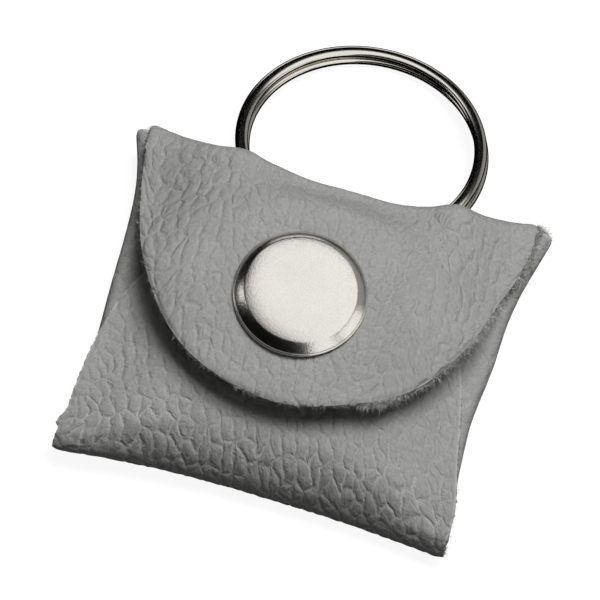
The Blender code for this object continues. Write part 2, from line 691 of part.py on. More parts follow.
def make_stud_eyelet(material):
    """A flange inside the pocket and a tube through three layers, flared inside the stud."""
    flange_high = INNER_LOBE_HEIGHT - HALF_LEATHER - PIECE_GAP
    flange_low = flange_high - EYELET_SHEET
    lip_low = STUD_BASE + STUD_BASE_THICK + PIECE_GAP / 2
    lip_high = lip_low + EYELET_LIP_THICK
    profile = [(EYELET_BORE_RADIUS, flange_low), (EYELET_FLANGE_RADIUS, flange_low),
               (EYELET_FLANGE_RADIUS, flange_high), (EYELET_POST_RADIUS, flange_high),
               (EYELET_POST_RADIUS, lip_low), (EYELET_LIP_RADIUS, lip_low),
               (EYELET_LIP_RADIUS, lip_high), (EYELET_BORE_RADIUS, lip_high)]
    return turned("stud_eyelet", profile, 0, material)


def wire_section():
    """The flat wire's rounded section, as (radial, axial) points."""
    section = []
    half_width = RING_WIRE_WIDTH / 2 - RING_WIRE_CORNER
    half_height = RING_WIRE_HEIGHT / 2 - RING_WIRE_CORNER
    for corner, (across, up) in enumerate(((1, 1), (-1, 1), (-1, -1), (1, -1))):
        for step in range(WIRE_CORNER_STEPS + 1):
            turn = QUARTER_TURN * (corner + step / WIRE_CORNER_STEPS)
            section.append((across * half_width + RING_WIRE_CORNER * math.cos(turn),
                            up * half_height + RING_WIRE_CORNER * math.sin(turn)))
    return section


def make_split_ring(material):
    """One unbroken wire: lower turn, a step beside its own start, then the upper turn."""
    centre, across, along, normal = ring_frame()
    half_pitch = (RING_WIRE_HEIGHT + RING_COIL_GAP) / 2
    full_turn = 2 * HALF_TURN
    wire_end = 2 * full_turn - RING_STEP
    start_angle = -QUARTER_TURN + RING_STEP / 2
    section = wire_section()
    mesh = bmesh.new()
    loops = []
    count = 2 * RING_STEPS_PER_TURN
    for index in range(count + 1):
        travel = wire_end * index / count
        level = ease((travel - full_turn + RING_STEP) / RING_STEP)
        axial = mix(-half_pitch, half_pitch, level)
        turn = start_angle + travel
        outward = across * math.cos(turn) + along * math.sin(turn)
        loop = []
        for radial, up in section:
            place = centre + outward * (RING_MEAN_RADIUS + radial) + normal * (axial + up)
            loop.append(mesh.verts.new(place))
        loops.append(loop)
    close_tube(mesh, loops)
    return finished("split_ring", mesh, material)


def hang_on_joint(name, place, items):
    """An empty on a joint's axis that carries the pieces which move together."""
    empty = bpy.data.objects.new(name, None)
    empty.location = place
    bpy.context.scene.collection.objects.link(empty)
    bpy.context.view_layer.update()
    for item in items:
        item.parent = empty
        item.matrix_parent_inverse = empty.matrix_world.inverted()


def main():
    for item in list(bpy.data.objects):
        bpy.data.objects.remove(item, do_unlink=True)
    leather = finish_material("grey_leather", (0.36, 0.37, 0.37), 0.55, 0)
    nickel = finish_material("nickel", (0.72, 0.70, 0.66), 0.25, 1)
    steel = finish_material("spring_steel", (0.55, 0.55, 0.56), 0.3, 1)
    make_pouch_body(leather)
    make_top_fold(leather)
    flap = make_flap(leather)
    cap = make_snap_cap(nickel)
    rivet = make_cap_rivet(steel)
    socket = make_snap_socket(nickel)
    spring = make_socket_spring(steel)
    make_snap_stud(nickel)
    make_stud_eyelet(nickel)
    ring = make_split_ring(nickel)
    bend_height = flap_height(0, BEND_Y) + HALF_LEATHER + PIECE_GAP
    hang_on_joint("flap_hinge_axis", (0, BEND_Y, bend_height), [flap, cap, rivet, socket, spring])
    centre = ring_frame()[0]
    hole_height = centre.z + (RING_Y - HOLE_LINE_Y) * math.tan(RING_TILT)
    hang_on_joint("ring_swing_axis", (RING_X, HOLE_LINE_Y, hole_height), [ring])


main()
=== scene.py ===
"""Looks of the folded leather coin pouch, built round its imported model.

The leather is one die-cut blank, folded without a stitch. Here it is two meshes that meet under the
pouch: the pocket (back panel, side lobes, front lobe) and the flap with the top fold it hangs from.
All lengths are in metres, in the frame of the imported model: +X along the top fold, +Y towards the key
ring, +Z out of the front. A span is two places: where something starts and where it is full.
"""
import math

import bpy
import numpy as np
from mathutils import Matrix, Vector, noise


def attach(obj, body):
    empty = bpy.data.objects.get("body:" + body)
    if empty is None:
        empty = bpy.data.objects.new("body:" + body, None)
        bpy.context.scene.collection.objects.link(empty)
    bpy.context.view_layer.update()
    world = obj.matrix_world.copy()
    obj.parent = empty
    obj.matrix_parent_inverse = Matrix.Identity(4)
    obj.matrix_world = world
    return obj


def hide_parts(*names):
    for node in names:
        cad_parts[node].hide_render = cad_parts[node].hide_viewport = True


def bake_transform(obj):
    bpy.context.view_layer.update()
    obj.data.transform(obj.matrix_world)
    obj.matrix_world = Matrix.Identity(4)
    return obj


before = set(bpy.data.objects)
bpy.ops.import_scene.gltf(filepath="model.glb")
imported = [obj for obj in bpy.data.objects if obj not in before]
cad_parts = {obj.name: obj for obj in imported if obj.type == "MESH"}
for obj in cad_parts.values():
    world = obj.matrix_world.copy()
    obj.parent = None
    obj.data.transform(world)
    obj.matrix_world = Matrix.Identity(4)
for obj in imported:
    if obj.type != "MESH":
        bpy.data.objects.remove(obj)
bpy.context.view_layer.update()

MM = 0.001
HALF_TURN = math.pi
QUARTER_TURN = math.pi / 2
FULL_TURN = 2 * math.pi

# Camera, solved from the ellipses of the ring and the cap in the photograph
VIEW_RIGHT = Vector((0.966, 0.2515, 0.0588))
VIEW_UP = Vector((-0.2544, 0.8871, 0.385))
VIEW_CENTRE = Vector((-1.08, 4.80, 5.2)) * MM
VIEW_WIDTH = 66.6 * MM
VIEW_LENS = 500                 # a long lens: the photograph shows hardly any perspective
SENSOR_WIDTH = 36
VIEW_CLIP = (0.01, 10)

# Leather blank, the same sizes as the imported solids
LEATHER_THICK = 1.0 * MM
LAYER_GAP = 0.25 * MM
PIECE_GAP = 0.25 * MM
POCKET_DEPTH = 4.3 * MM
SIDE_REACH_MID = 21.6 * MM
SIDE_REACH_TOP = 23.3 * MM
SIDE_REACH_BOTTOM = 22.8 * MM
TOP_REACH_MID = 19.2 * MM
TOP_REACH_CORNER = 21.1 * MM
BOTTOM_REACH_MID = 19.6 * MM
BOTTOM_REACH_CORNER = 20.7 * MM
PINCUSHION_POWER = 2.5
EDGE_LIFT = 2.1 * MM
CORNER_LIFT = 0.8 * MM
TOP_LIFT_SHARE = 0.15
SIDE_ROLL_MID = 1.0 * MM
SIDE_ROLL_CORNER = 0.7 * MM
TOP_ROLL_MID = 2.9 * MM
TOP_ROLL_CORNER = 1.2 * MM
BACK_FLAT_SHARE = 0.55
LOBE_FLAT_SHARE = 0.42
SIDE_FLAT_SHARE = 0.62
CREST_HEIGHT_SHARE = 0.45
SIDE_LOBE_HALF_SPAN = 17.6 * MM
SIDE_LOBE_POWER = 1.6
LEFT_LOBE_TIP = 4.0 * MM
RIGHT_LOBE_TIP = 5.6 * MM
FRONT_LOBE_HALF_WIDTH = 22.05 * MM
FRONT_LOBE_LENGTH = 29.8 * MM
FRONT_LOBE_POWER = 2.8
FRONT_LOBE_SHIFT = -0.4 * MM
LOBE_ROOT = 0.6 * MM
LAP_SPAN = (16.0 * MM, 6.5 * MM)
LAP_FADE_SPAN = (8.0 * MM, 16.0 * MM)
FLAP_HALF_WIDTH = 22.5 * MM
FLAP_LENGTH = 31.0 * MM
FLAP_ROOT_Y = 20.5 * MM
FLAP_TIP_LEAN = -0.5 * MM
FLAP_RIM_GAP = 0.5 * MM
FREE_RIM_RISE = 2.4 * MM
FREE_RIM_SPAN = (13.0 * MM, 1.0 * MM)
# Where the flap's cut departs from an ellipse: direction and spread in degrees, then how far inward
FLAP_DENTS = ((20, 9, 0.42 * MM), (54, 17, -0.95 * MM), (86, 13, -0.2 * MM), (117, 17, -0.6 * MM),
              (165, 13, 0.35 * MM))
BEND_Y = 17.3 * MM
FRONT_FADE_SPAN = (7.0 * MM, 13.0 * MM)
FOLD_BULGE = 2.9 * MM
BULGE_SPAN_X = (13.0 * MM, 21.5 * MM)
BULGE_SPAN_Y = (5.0 * MM, 15.0 * MM)
FLAP_HOLD_X = 21.0 * MM
FLAP_HOLD_UP = 19.4 * MM
FLAP_HOLD_DOWN = 11.0 * MM
DOME_FLAT_SHARE = 0.42

# Ring snap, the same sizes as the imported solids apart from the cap's crown and shoulder
SNAP_X = -0.8 * MM
SNAP_Y = 1.8 * MM
CAP_RADIUS = 7.45 * MM
CAP_HEIGHT = 1.7 * MM
CAP_SHEET = 0.3 * MM
CAP_LIP_RADIUS = 5.9 * MM
CAP_LIP_HEIGHT = 0.3 * MM
CAP_BEAD = 0.14 * MM            # how far the rolled rim stands out of the cap's side
BEAD_DEGREES = (80, -90)
CAP_CROWN = 0.30 * MM           # how far the cap's top bulges
CAP_CROWN_POWER = 5
CAP_CROWN_RADIUS = 6.15 * MM
CAP_SHOULDER_TILTS = ((0, 0.25, 1), (14, 36, 50))       # shares of the shoulder's width, tilt in degrees
STUD_BASE_THICK = 0.5 * MM
STUD_HEIGHT = 1.6 * MM
SOCKET_SHEET = 0.4 * MM
EYELET_SHEET = 0.4 * MM

# Key ring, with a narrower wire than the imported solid's
RING_MEAN_RADIUS = 13.4 * MM
RING_WIRE_WIDTH = 1.7 * MM
WIRE_WIDTH_SHOWN = 1.46 * MM
WIRE_POWER = 2.6                # of the wire's rounded section
RING_WIRE_HEIGHT = 0.88 * MM
RING_COIL_GAP = 0.08 * MM
COIL_SHIFT = 0.16 * MM          # how far each coil of the sprung wire lies off the ring's middle
COIL_SHIFT_SHARES = (0.9, -0.4)         # across the ring and along it
RING_ROLL = math.radians(-2.6)
RING_TILT_SHOWN = math.radians(15.0)
RING_STEP = math.radians(34)
RING_X = 0.8 * MM
RING_PROUD = 5.25 * MM
RING_NUDGE = (0.12 * MM, 0.40 * MM)
HOLE_HEIGHT = 6.45 * MM
HOLE_RADIUS = 1.12 * MM
RING_Y = TOP_REACH_MID + RING_PROUD
RING_OUTER_RADIUS = RING_MEAN_RADIUS + RING_WIRE_WIDTH / 2
RING_HALF_STACK = RING_WIRE_HEIGHT + RING_COIL_GAP / 2
RING_TILT = math.asin((HOLE_HEIGHT - RING_HALF_STACK) / (RING_OUTER_RADIUS + RING_PROUD))
RING_WIRE_RADIUS = RING_OUTER_RADIUS - WIRE_WIDTH_SHOWN / 2

# Heights that follow from the stack at the snap
LAYER_STEP = LEATHER_THICK + LAYER_GAP
HALF_LEATHER = LEATHER_THICK / 2
INNER_LOBE_HEIGHT = LEATHER_THICK + POCKET_DEPTH + EYELET_SHEET + PIECE_GAP + HALF_LEATHER
FRONT_LOBE_TOP = INNER_LOBE_HEIGHT + 2 * LAYER_STEP + HALF_LEATHER
STUD_BASE = FRONT_LOBE_TOP + PIECE_GAP
SOCKET_CEILING = STUD_BASE + STUD_BASE_THICK + STUD_HEIGHT + PIECE_GAP
FLAP_SNAP_HEIGHT = SOCKET_CEILING + SOCKET_SHEET + PIECE_GAP + HALF_LEATHER
CAP_BASE = FLAP_SNAP_HEIGHT + HALF_LEATHER + PIECE_GAP
EDGE_BACK_HEIGHT = HALF_LEATHER + EDGE_LIFT

# Fineness of the meshes
PANEL_COLUMNS = 150
PANEL_ROWS = 92
FRONT_ROLL_STEPS = 16
FRONT_STEPS = 108
SIDE_ROLL_STEPS = 10
SIDE_STEPS = 28
FOLD_STEPS = 44
FLAP_STEPS = 104
RIM_STEPS = 4
OUTLINE_POINTS = 600
SIDE_OUTLINE_SHARE = 0.3        # the share of a lobe's cut edge that bounds each side of its grid
FRONT_OUTLINE_SHARE = 0.33
FLAP_OUTLINE_SHARE = 0.28
CROWN_STEPS = 24
BEAD_STEPS = 10
TURN_STEPS = 144
WIRE_STEPS = 420
SECTION_STEPS = 28
LEATHER_SHARP = 55              # a crease steeper than this many degrees is shaded as an edge
CAP_SHARP = 50
WIRE_SHARP = 60
PLAIN_SHARP = 35

# How the leather really lies: the bottom fold, with its left and its right measure
SHOULDER_START_SHARES = (0.84, 0.745)   # where the front begins to round off downwards
SHOULDER_DEPTH_SHARES = (2.3, 2.79)
FOLD_REACHES = (1.45 * MM, 1.10 * MM)   # how far the fold stands out beyond its crease
FOLD_RISES = (1.3 * MM, 0.5 * MM)       # from the back panel's edge up to the fold's outermost line
FOLD_CHANGE_SHARE = 0.8
BOTTOM_DROP = 2.0 * MM          # how much nearer to the table the bottom fold lies
BOTTOM_DROP_LEFT_SHARE = 0.75
BOTTOM_DROP_SPAN = (-12.5 * MM, -22.0 * MM)

# The pouch is slightly out of square, with spread corners
LEFT_SPAN = (20.0 * MM, -20.0 * MM)
RAISE_LEFT = 1.15 * MM
RAISE_RIGHT = 0.25 * MM
RAISE_SPAN = (-6.0 * MM, -19.0 * MM)
NARROW_RIGHT = 0.80 * MM
NARROW_SPAN_X = (0.0, 20.0 * MM)
NARROW_SPAN_Y = (5.0 * MM, -5.0 * MM)
SPREAD_LEFT = 0.3 * MM
SPREAD_SPAN_X = (-14.0 * MM, -22.0 * MM)
SPREAD_Y = 2.0 * MM
SPREAD_HALF_LENGTH = 12.0 * MM
FLARE_RIGHT = 1.2 * MM
FLARE_RIGHT_SPAN = (7.0 * MM, 22.0 * MM)
FLARE_RIGHT_POWER = 1.5
FLARE_LEFT = 0.9 * MM
FLARE_LEFT_SPAN = (9.0 * MM, 21.0 * MM)
FLARE_LEFT_POWER = 4
FLARE_REACH = 22.0 * MM
CORNER_RISE = 0.9 * MM
CORNER_SPAN_X = (12.0 * MM, 21.0 * MM)
FRONT_SPREAD_LEFT = 1.4 * MM    # the front lobe reaches a little past the folds at the bottom corners
FRONT_SPREAD_LEFT_SPAN = (-15.5 * MM, -20.0 * MM)
FRONT_SPREAD_RIGHT = 0.95 * MM
FRONT_SPREAD_RIGHT_SPAN = (-8.0 * MM, -17.0 * MM)
UNDULATION = 0.10 * MM
UNDULATION_RUN = 9.0 * MM

# The flap stands off the front, and the top fold sags between the ring's holes and stands up beside them
LIFT_LEFT = 0.5 * MM
LIFT_RIGHT = 0.55 * MM
LIFT_CHANGE_SPAN = (-8.0 * MM, 8.0 * MM)
LIFT_SPAN_X = (8.5 * MM, 19.5 * MM)
LIFT_SPAN_Y = (12.0 * MM, 3.0 * MM)
SIGHT_SLOPE = (0.0485, -0.42)   # a raised point moves this much in X and Y to keep its place in the view
SINK_X = 1.5 * MM
SINK_HALF_WIDTH = 12.5 * MM
SINK_STEEPNESS = 1.4
SINK_SPAN_Y = (12.3 * MM, 17.3 * MM)
SINK_DOWN = 2.0 * MM
SINK_BACK = 0.45 * MM
TENT_HEIGHT = 0.55 * MM
TENT_HALF_WIDTH = 1.9 * MM
TENT_RUN = 5.0 * MM
# Shares of the way round the top fold
TENT_FOLD_SPAN = (0.25, 0.75)
SINK_FOLD_SPAN = (0.3, 0.8)
FLARE_FOLD_SPAN = (0.5, 0.0)

# Cut edges, and the depth of the grain as a share of the deepest
RELIEF_DEPTH = 0.10 * MM        # of the deepest pebble grain
PANEL_GRAIN = 0.6
SIDE_GRAIN = 0.35
TOP_FOLD_GRAIN = 0.4
FOLD_GRAIN = 1.0
FRONT_GRAIN = 0.80
FRONT_GRAIN_RUN = 12.0 * MM
CAP_GRAIN = 0.55
FLAP_GRAIN = 0.8
FLAP_GRAIN_SPAN = (5.96 * MM, 20.86 * MM)
CUT_GRAIN_SHARE = 0.4
CUT_GRAIN_RUN = 0.8 * MM
GRAIN_SHEAR = 0.22              # how much the front lobe's grain leans
EDGE_DROP = 0.20 * MM           # how far the die rounds the grain side at a cut
EDGE_DROP_RUN = 0.30 * MM
FAR_FROM_CUT = 9.0 * MM
NEAR_CUT = 0.2 * MM
RIM_FRAY = 0.07 * MM
FRAY_SEED = 7
POCKET_SCUFF = 0.8              # how pale the worn cut edge of the front lobe is
SCUFF_RUN = 0.15 * MM
SCUFF_SPAN_Z = (3.0 * MM, 4.5 * MM)

# Loose fibres. Each set: how many, the longest, seed of its random draws
FLAP_FIBRES = (6500, 0.85 * MM, 11)
POCKET_FIBRES = (1500, 0.45 * MM, 12)
FIBRE_RADIUS = 0.030 * MM
FIBRE_TAPER = 0.7
FIBRE_STEPS = 3
FIBRE_SIDES = 3
FIBRE_CROWD = 4.0               # how much thicker the fibres stand on the flap's right edge
FIBRE_CROWD_SPAN = (3.0 * MM, 12.0 * MM)
FIBRE_TUFT_RUN = 2.2 * MM
FIBRE_TUFTING = 2.5
FIBRE_ROOTS = (0.05, 0.95)      # in shares of the edge's height
FIBRE_ROOT_DEPTH = 0.03 * MM
FIBRE_SPLAY = 0.7               # spread of their aim along the edge
FIBRE_DROOP = (-0.2, 0.4)       # mean and spread of their aim across the edge
FIBRE_CURL = 0.45
FIBRE_SHORT_SHARE = 0.4         # length where they stand thin
FIBRE_LENGTHS = (0.25, 1.0)
FIBRE_LENGTH_POWER = 1.5

# Pebble grain, in millimetres of the unfolded leather. Cells: across, along, turn, unevenness.
# Each kind of pebble: its cells, the noise that varies its creases as scale and span, how strong they are
# from the weakest place to the strongest, and the share that a crease across the cells keeps of that
PEBBLES = (((1.45, 2.4, 0.08, 0.85), 0.45, (0.35, 0.6), (0.55, 1.0), 0.55),
           ((1.0, 1.75, -0.1, 1.0), 0.6, (0.4, 0.62), (0.15, 0.6), 0.5))
ALONG_SPAN = (0.0, 0.8)
PORES = (0.34, 0.42, 0.6, 1.0)
PORE_WIDTH = 0.1
MESH_CREASE = 0.40              # half the width of a crease, as raised and as shaded
SHADED_CREASE = 0.38
CREASE_DEPTH = 0.7
PEBBLE_DOME = 0.3
PEBBLE_DOME_REACH = 0.85
WANDER_NOISE = (0.6, 3.0, 0.6)  # scale, detail and roughness
WANDER = 1.3
BUMP_DEPTH = 0.155 * MM
BUMP_GAIN = 1.3
BUMP_SHARES = (0.5, 0.42)       # how much bump follows the grain's depth, and how much is always there
PORE_BUMP = 0.10
FINE_BUMP = 0.18

# Noise patterns: scale, detail and roughness, then the span that counts
PATCHES = ((0.16, 3.0, 0.5), (0.35, 0.65))
SPECKS = ((3.2, 0.0, 0.5), (0.85, 0.87))
MOTTLE = ((2.6, 4.0, 0.75), (0.38, 0.62))
FINE = ((5.5, 4.0, 0.6), (0.3, 0.7))
TARNISH = ((350.0, 3.0, 0.5), (0.2, 0.9))
GRIT = ((4800.0, 1.0, 0.5), (0.35, 0.75))
HAIRLINES = ((1.0, 2.0, 0.5), (0.3, 0.7))
HAIRLINE_SIZE = (0.00012, 0.004, 0.5)   # across, along and turn

# Colours of the leather: red, green and blue
GRAIN_COLOURS = ((0.334, 0.335, 0.326), (0.364, 0.365, 0.356))
# Painted highlight: the creases are paler than the pebbles, for the light that their walls catch
LIT_CREASE_COLOUR = (0.375, 0.376, 0.366)
# Painted highlight and paler stretched leather: the bottom fold's creases are much paler still, for the
# light on their upturned walls
FOLD_LIT_CREASE_COLOUR = (0.51, 0.511, 0.50)
SPECK_COLOUR = (0.12, 0.12, 0.12)
MOTTLE_COLOUR = (0.21, 0.21, 0.205)
SCUFF_COLOUR = (0.56, 0.56, 0.54)
# How far up the pebbles the painted crease highlight reaches
LIT_CREASE_SPAN = (0.0, 0.6)
MOTTLE_SHARE = 0.38
LEATHER_ROUGHNESS = (0.50, 0.64)
LEATHER_SHINE = 0.35
# Bare leather: name, dark and light colour, scale of its fibres, relief
CUT_EDGE = ("cut_edge", (0.16, 0.16, 0.152), (0.48, 0.475, 0.45), 2600.0, 0.12 * MM)
FLESH_SIDE = ("flesh_side", (0.09, 0.09, 0.088), (0.26, 0.26, 0.25), 1700.0, 0.15 * MM)
LOOSE_FIBRE = ("loose_fibre", (0.20, 0.20, 0.19), (0.66, 0.65, 0.61), 1500.0, 0.01 * MM)
BARE_COARSE = (5.0, 0.7)        # detail and roughness of the noise
BARE_FINE = (3.0, 0.6)
BARE_FINE_SCALE = 4             # how much finer the fine fibres are
BARE_SHARES = (0.6, 0.4)        # of coarse and fine fibres
BARE_SPAN = (0.36, 0.62)
BARE_ROUGHNESS = 0.95
BARE_SHINE = 0.1
# Nickel: name, roughness, colour, depth of its scratches and of its grit
BRIGHT_NICKEL = ("bright_nickel", 0.12, (0.80, 0.77, 0.71), 0.0012 * MM, 0.001 * MM)
SATIN_NICKEL = ("satin_nickel", 0.24, (0.88, 0.85, 0.79), 0.0002 * MM, 0.014 * MM)
DULL_SHARE = 0.86               # brightness of the tarnish
SPECK_SHARE = 0.80              # brightness of the specks on it
TARNISH_SHARE = 0.5
SPECKLING = 16 / MM             # how strongly the specks show for their depth
NICKEL_ROUGHNESS_SHARES = (0.9, 1.1)
WHITE = (1, 1, 1, 1)

# Studio: a floor, a key light, faint light from all round, and the dome that the metal reflects
FLOOR_REACH = 3.0
FLOOR_HEIGHT = -0.02 * MM
FLOOR_COLOUR = (0.15, 0.15, 0.15, 1)
FLOOR_GLOW = 0.92
AMBIENT = 0.08
KEY_DIRECTION = Vector((0.15, 0.29, 0.945))
KEY_DISTANCE = 0.7
KEY_SIZE = 0.32
KEY_POWER = 5.1
# The dome is white, with black and grey cards whose edges are soft.
# Each card: directions from and to, heights from and to, soft edge in degrees, glow from 0 to 1
CARDS = ((0, 360, -10, 44, 6, 0.0),
         (125, 300, -10, 62, 8, 0.0),
         (22, 84, -10, 36, 4, 0.28),
         (84, 122, -10, 17, 4, 0.9),
         (338, 382, -10, 36, 4, 1.0),
         (298, 338, -10, 90, 4, 1.0),
         (166, 186, 8, 48, 4, 1.0))
SHADE_DIRECTION = 230           # the dome darkens over the object towards this side
SHADE_SPAN = (-0.15, 0.34)      # level distance from the middle of the dome, in shares of its radius
DOME_RADIUS = 0.45
DOME_FOOT = -0.01 * MM
DOME_COLUMNS = 180
DOME_ROWS = 46
DARK_TABLE = 0.16               # the table stays dark in the metal up to this distance
DARK_TABLE_EDGE = 0.02


# Shape of the folded blank

def ease(share):
    share = np.clip(share, 0.0, 1.0)
    return share * share * (3 - 2 * share)


def grown(place, span):
    """Grows smoothly from 0 at the start of a span to 1 at its end."""
    start, end = span
    return ease((place - start) / (end - start))


def lift(share, flat_share):
    return grown(np.abs(share), (flat_share, 1))


def mix(start, end, share):
    return start + (end - start) * share


def flare(share):
    return np.minimum(1.0, np.abs(share)) ** PINCUSHION_POWER


def side_roll(up_share):
    return mix(SIDE_ROLL_MID, SIDE_ROLL_CORNER, lift(up_share, BACK_FLAT_SHARE))


def top_roll(across_share):
    return mix(TOP_ROLL_MID, TOP_ROLL_CORNER, flare(across_share))


def bottom_roll(across_share):
    corner_rise = CORNER_LIFT * lift(across_share, BACK_FLAT_SHARE)
    return (lobe_edge_height(1) + LAYER_STEP - EDGE_BACK_HEIGHT - corner_rise) / 2


def side_crease(up_share):
    corner = np.where(np.asarray(up_share) > 0, SIDE_REACH_TOP, SIDE_REACH_BOTTOM)
    return mix(SIDE_REACH_MID, corner, flare(up_share)) - HALF_LEATHER - side_roll(up_share)


def up_reach(across_share, y):
    """How far the top or bottom crease lies from the middle of the pouch."""
    top = mix(TOP_REACH_MID, TOP_REACH_CORNER, flare(across_share)) - top_roll(across_share)
    bottom = mix(BOTTOM_REACH_MID, BOTTOM_REACH_CORNER, flare(across_share)) - bottom_roll(across_share)
    return np.where(y > 0, top, bottom) - HALF_LEATHER


def panel_shares(x, y):
    up_share = y / up_reach(1, y)
    across_share = np.clip(x / side_crease(up_share), -1, 1)
    return across_share, np.clip(y / up_reach(across_share, y), -1, 1)


def panel_point(across_share, up_share):
    return across_share * side_crease(up_share), up_share * up_reach(across_share, up_share)


def back_height(across_share, up_share):
    across = lift(across_share, BACK_FLAT_SHARE)
    up = lift(up_share, BACK_FLAT_SHARE)
    up_lift = np.where(up_share > 0, up * TOP_LIFT_SHARE, up)
    edge = 1 - (1 - across) * (1 - up_lift)
    return HALF_LEATHER + EDGE_LIFT * edge + CORNER_LIFT * across * up


def lobe_edge_height(up_share):
    corner_rise = CORNER_LIFT * lift(up_share, BACK_FLAT_SHARE)
    return EDGE_BACK_HEIGHT + corner_rise + 2 * side_roll(up_share)


def fold_measure(pair, across_share):
    """A measure of the bottom fold, which changes from the left to the right."""
    left, right = pair
    return mix(right, left, ease(-across_share / FOLD_CHANGE_SHARE))


def shoulder_turn(across_share, up_share):
    """Sine of the turn along the quarter ellipse by which the front goes over into the bottom fold."""
    start_share = fold_measure(SHOULDER_START_SHARES, across_share)
    end_share = 1 + fold_measure(FOLD_REACHES, across_share) / BOTTOM_REACH_MID
    return np.clip((-up_share - start_share) / (end_share - start_share), 0, 1)


def inner_height(x, y):
    across_share, up_share = panel_shares(x, y)
    across = 1 - lift(across_share, SIDE_FLAT_SHARE)
    depth_share = fold_measure(SHOULDER_DEPTH_SHARES, across_share)
    shoulder = 1 - depth_share * (1 - np.sqrt(1 - shoulder_turn(across_share, up_share) ** 2))
    along = np.where(up_share < 0, shoulder, 1 - lift(up_share, LOBE_FLAT_SHARE))
    return mix(lobe_edge_height(up_share), INNER_LOBE_HEIGHT, across * along)


def lap_step(x, y):
    return LAYER_STEP * grown(-x, LAP_SPAN) * (1 - grown(np.abs(y), LAP_FADE_SPAN))


def left_lobe_height(x, y):
    return inner_height(x, y) + lap_step(x, y)


def side_lobes_top(x, y):
    """Height of the leather that the front lobe lies on, without the front lobe's own layer."""
    return inner_height(x, y) + lap_step(x, y) * grown(x, LAP_SPAN)


def front_lobe_height(x, y):
    return side_lobes_top(x, y) + LAYER_STEP


def flap_height(x, y):
    front = 1 - grown(y, FRONT_FADE_SPAN)
    rim = side_lobes_top(x, y) + LAYER_STEP * front + LEATHER_THICK + FLAP_RIM_GAP
    rim = rim + FREE_RIM_RISE * grown(y, FREE_RIM_SPAN)
    rim = rim + FOLD_BULGE * (1 - grown(np.abs(x), BULGE_SPAN_X)) * grown(y, BULGE_SPAN_Y)
    hold_y = np.where(y > SNAP_Y, FLAP_HOLD_UP, FLAP_HOLD_DOWN)
    reach = np.hypot((x - SNAP_X) / FLAP_HOLD_X, (y - SNAP_Y) / hold_y)
    return mix(FLAP_SNAP_HEIGHT, rim, lift(reach, DOME_FLAT_SHARE))


def superellipse(turn, half_width, length, power):
    across = np.sign(np.cos(turn)) * np.abs(np.cos(turn)) ** (2 / power)
    return half_width * across, length * np.abs(np.sin(turn)) ** (2 / power)


# Grids: every patch of the blank is a grid of points whose neighbours share their edges

ACROSS = np.linspace(-1, 1, PANEL_COLUMNS + 1)
UP = np.linspace(-1, 1, PANEL_ROWS + 1)


def stacked(*parts):
    return np.stack(np.broadcast_arrays(*parts), axis=-1)


def step_ends(count):
    """The ends of equal steps from 0 to 1, one to a row."""
    return (np.arange(1, count + 1) / count)[:, None]


def end_gap(line):
    """Distance of each point of a row to the nearer end of its row."""
    return np.minimum(line - line[..., :1], line[..., -1:] - line)


def travelled(root, points):
    """How far round a fold each of its points lies from the root line."""
    steps = np.linalg.norm(np.diff(np.concatenate([root[None], points]), axis=0), axis=2)
    return np.cumsum(steps, axis=0)


def resampled(line, count):
    """Points evenly spaced along a line of (x, y) points."""
    steps = np.hypot(*np.diff(line, axis=0).T)
    travel = np.concatenate(([0], np.cumsum(steps)))
    wanted = np.linspace(0, travel[-1], count)
    return np.column_stack([np.interp(wanted, travel, line[:, axis]) for axis in (0, 1)])


def lobe_grid(base, outline, rows, side_share):
    """X and Y of points that fill a lobe beyond its root line, and their distance to its cut edge.

    The outline runs from the base's last point round the tip to the base's first point. Its first and
    last parts bound the grid's sides, its middle part bounds the grid's far row.
    """
    columns = len(base)
    fine = resampled(outline, OUTLINE_POINTS)
    side_count = int(OUTLINE_POINTS * side_share)
    right = resampled(fine[:side_count + 1], rows + 1)
    tip = resampled(fine[side_count:OUTLINE_POINTS - side_count], columns)[::-1]
    left = resampled(fine[OUTLINE_POINTS - side_count - 1:], rows + 1)[::-1]
    along = np.linspace(0, 1, rows + 1)[:, None, None]
    across = np.linspace(0, 1, columns)[None, :, None]
    grid = (1 - along) * base[None] + along * tip[None]
    grid = grid + (1 - across) * left[:, None] + across * right[:, None]
    corners = (1 - along) * ((1 - across) * base[0] + across * base[-1])
    corners = corners + along * ((1 - across) * tip[0] + across * tip[-1])
    x, y = np.moveaxis((grid - corners)[1:], -1, 0)
    nearest = np.full(x.shape, np.inf)
    for spot in fine:
        nearest = np.minimum(nearest, np.hypot(x - spot[0], y - spot[1]))
    return x, y, nearest


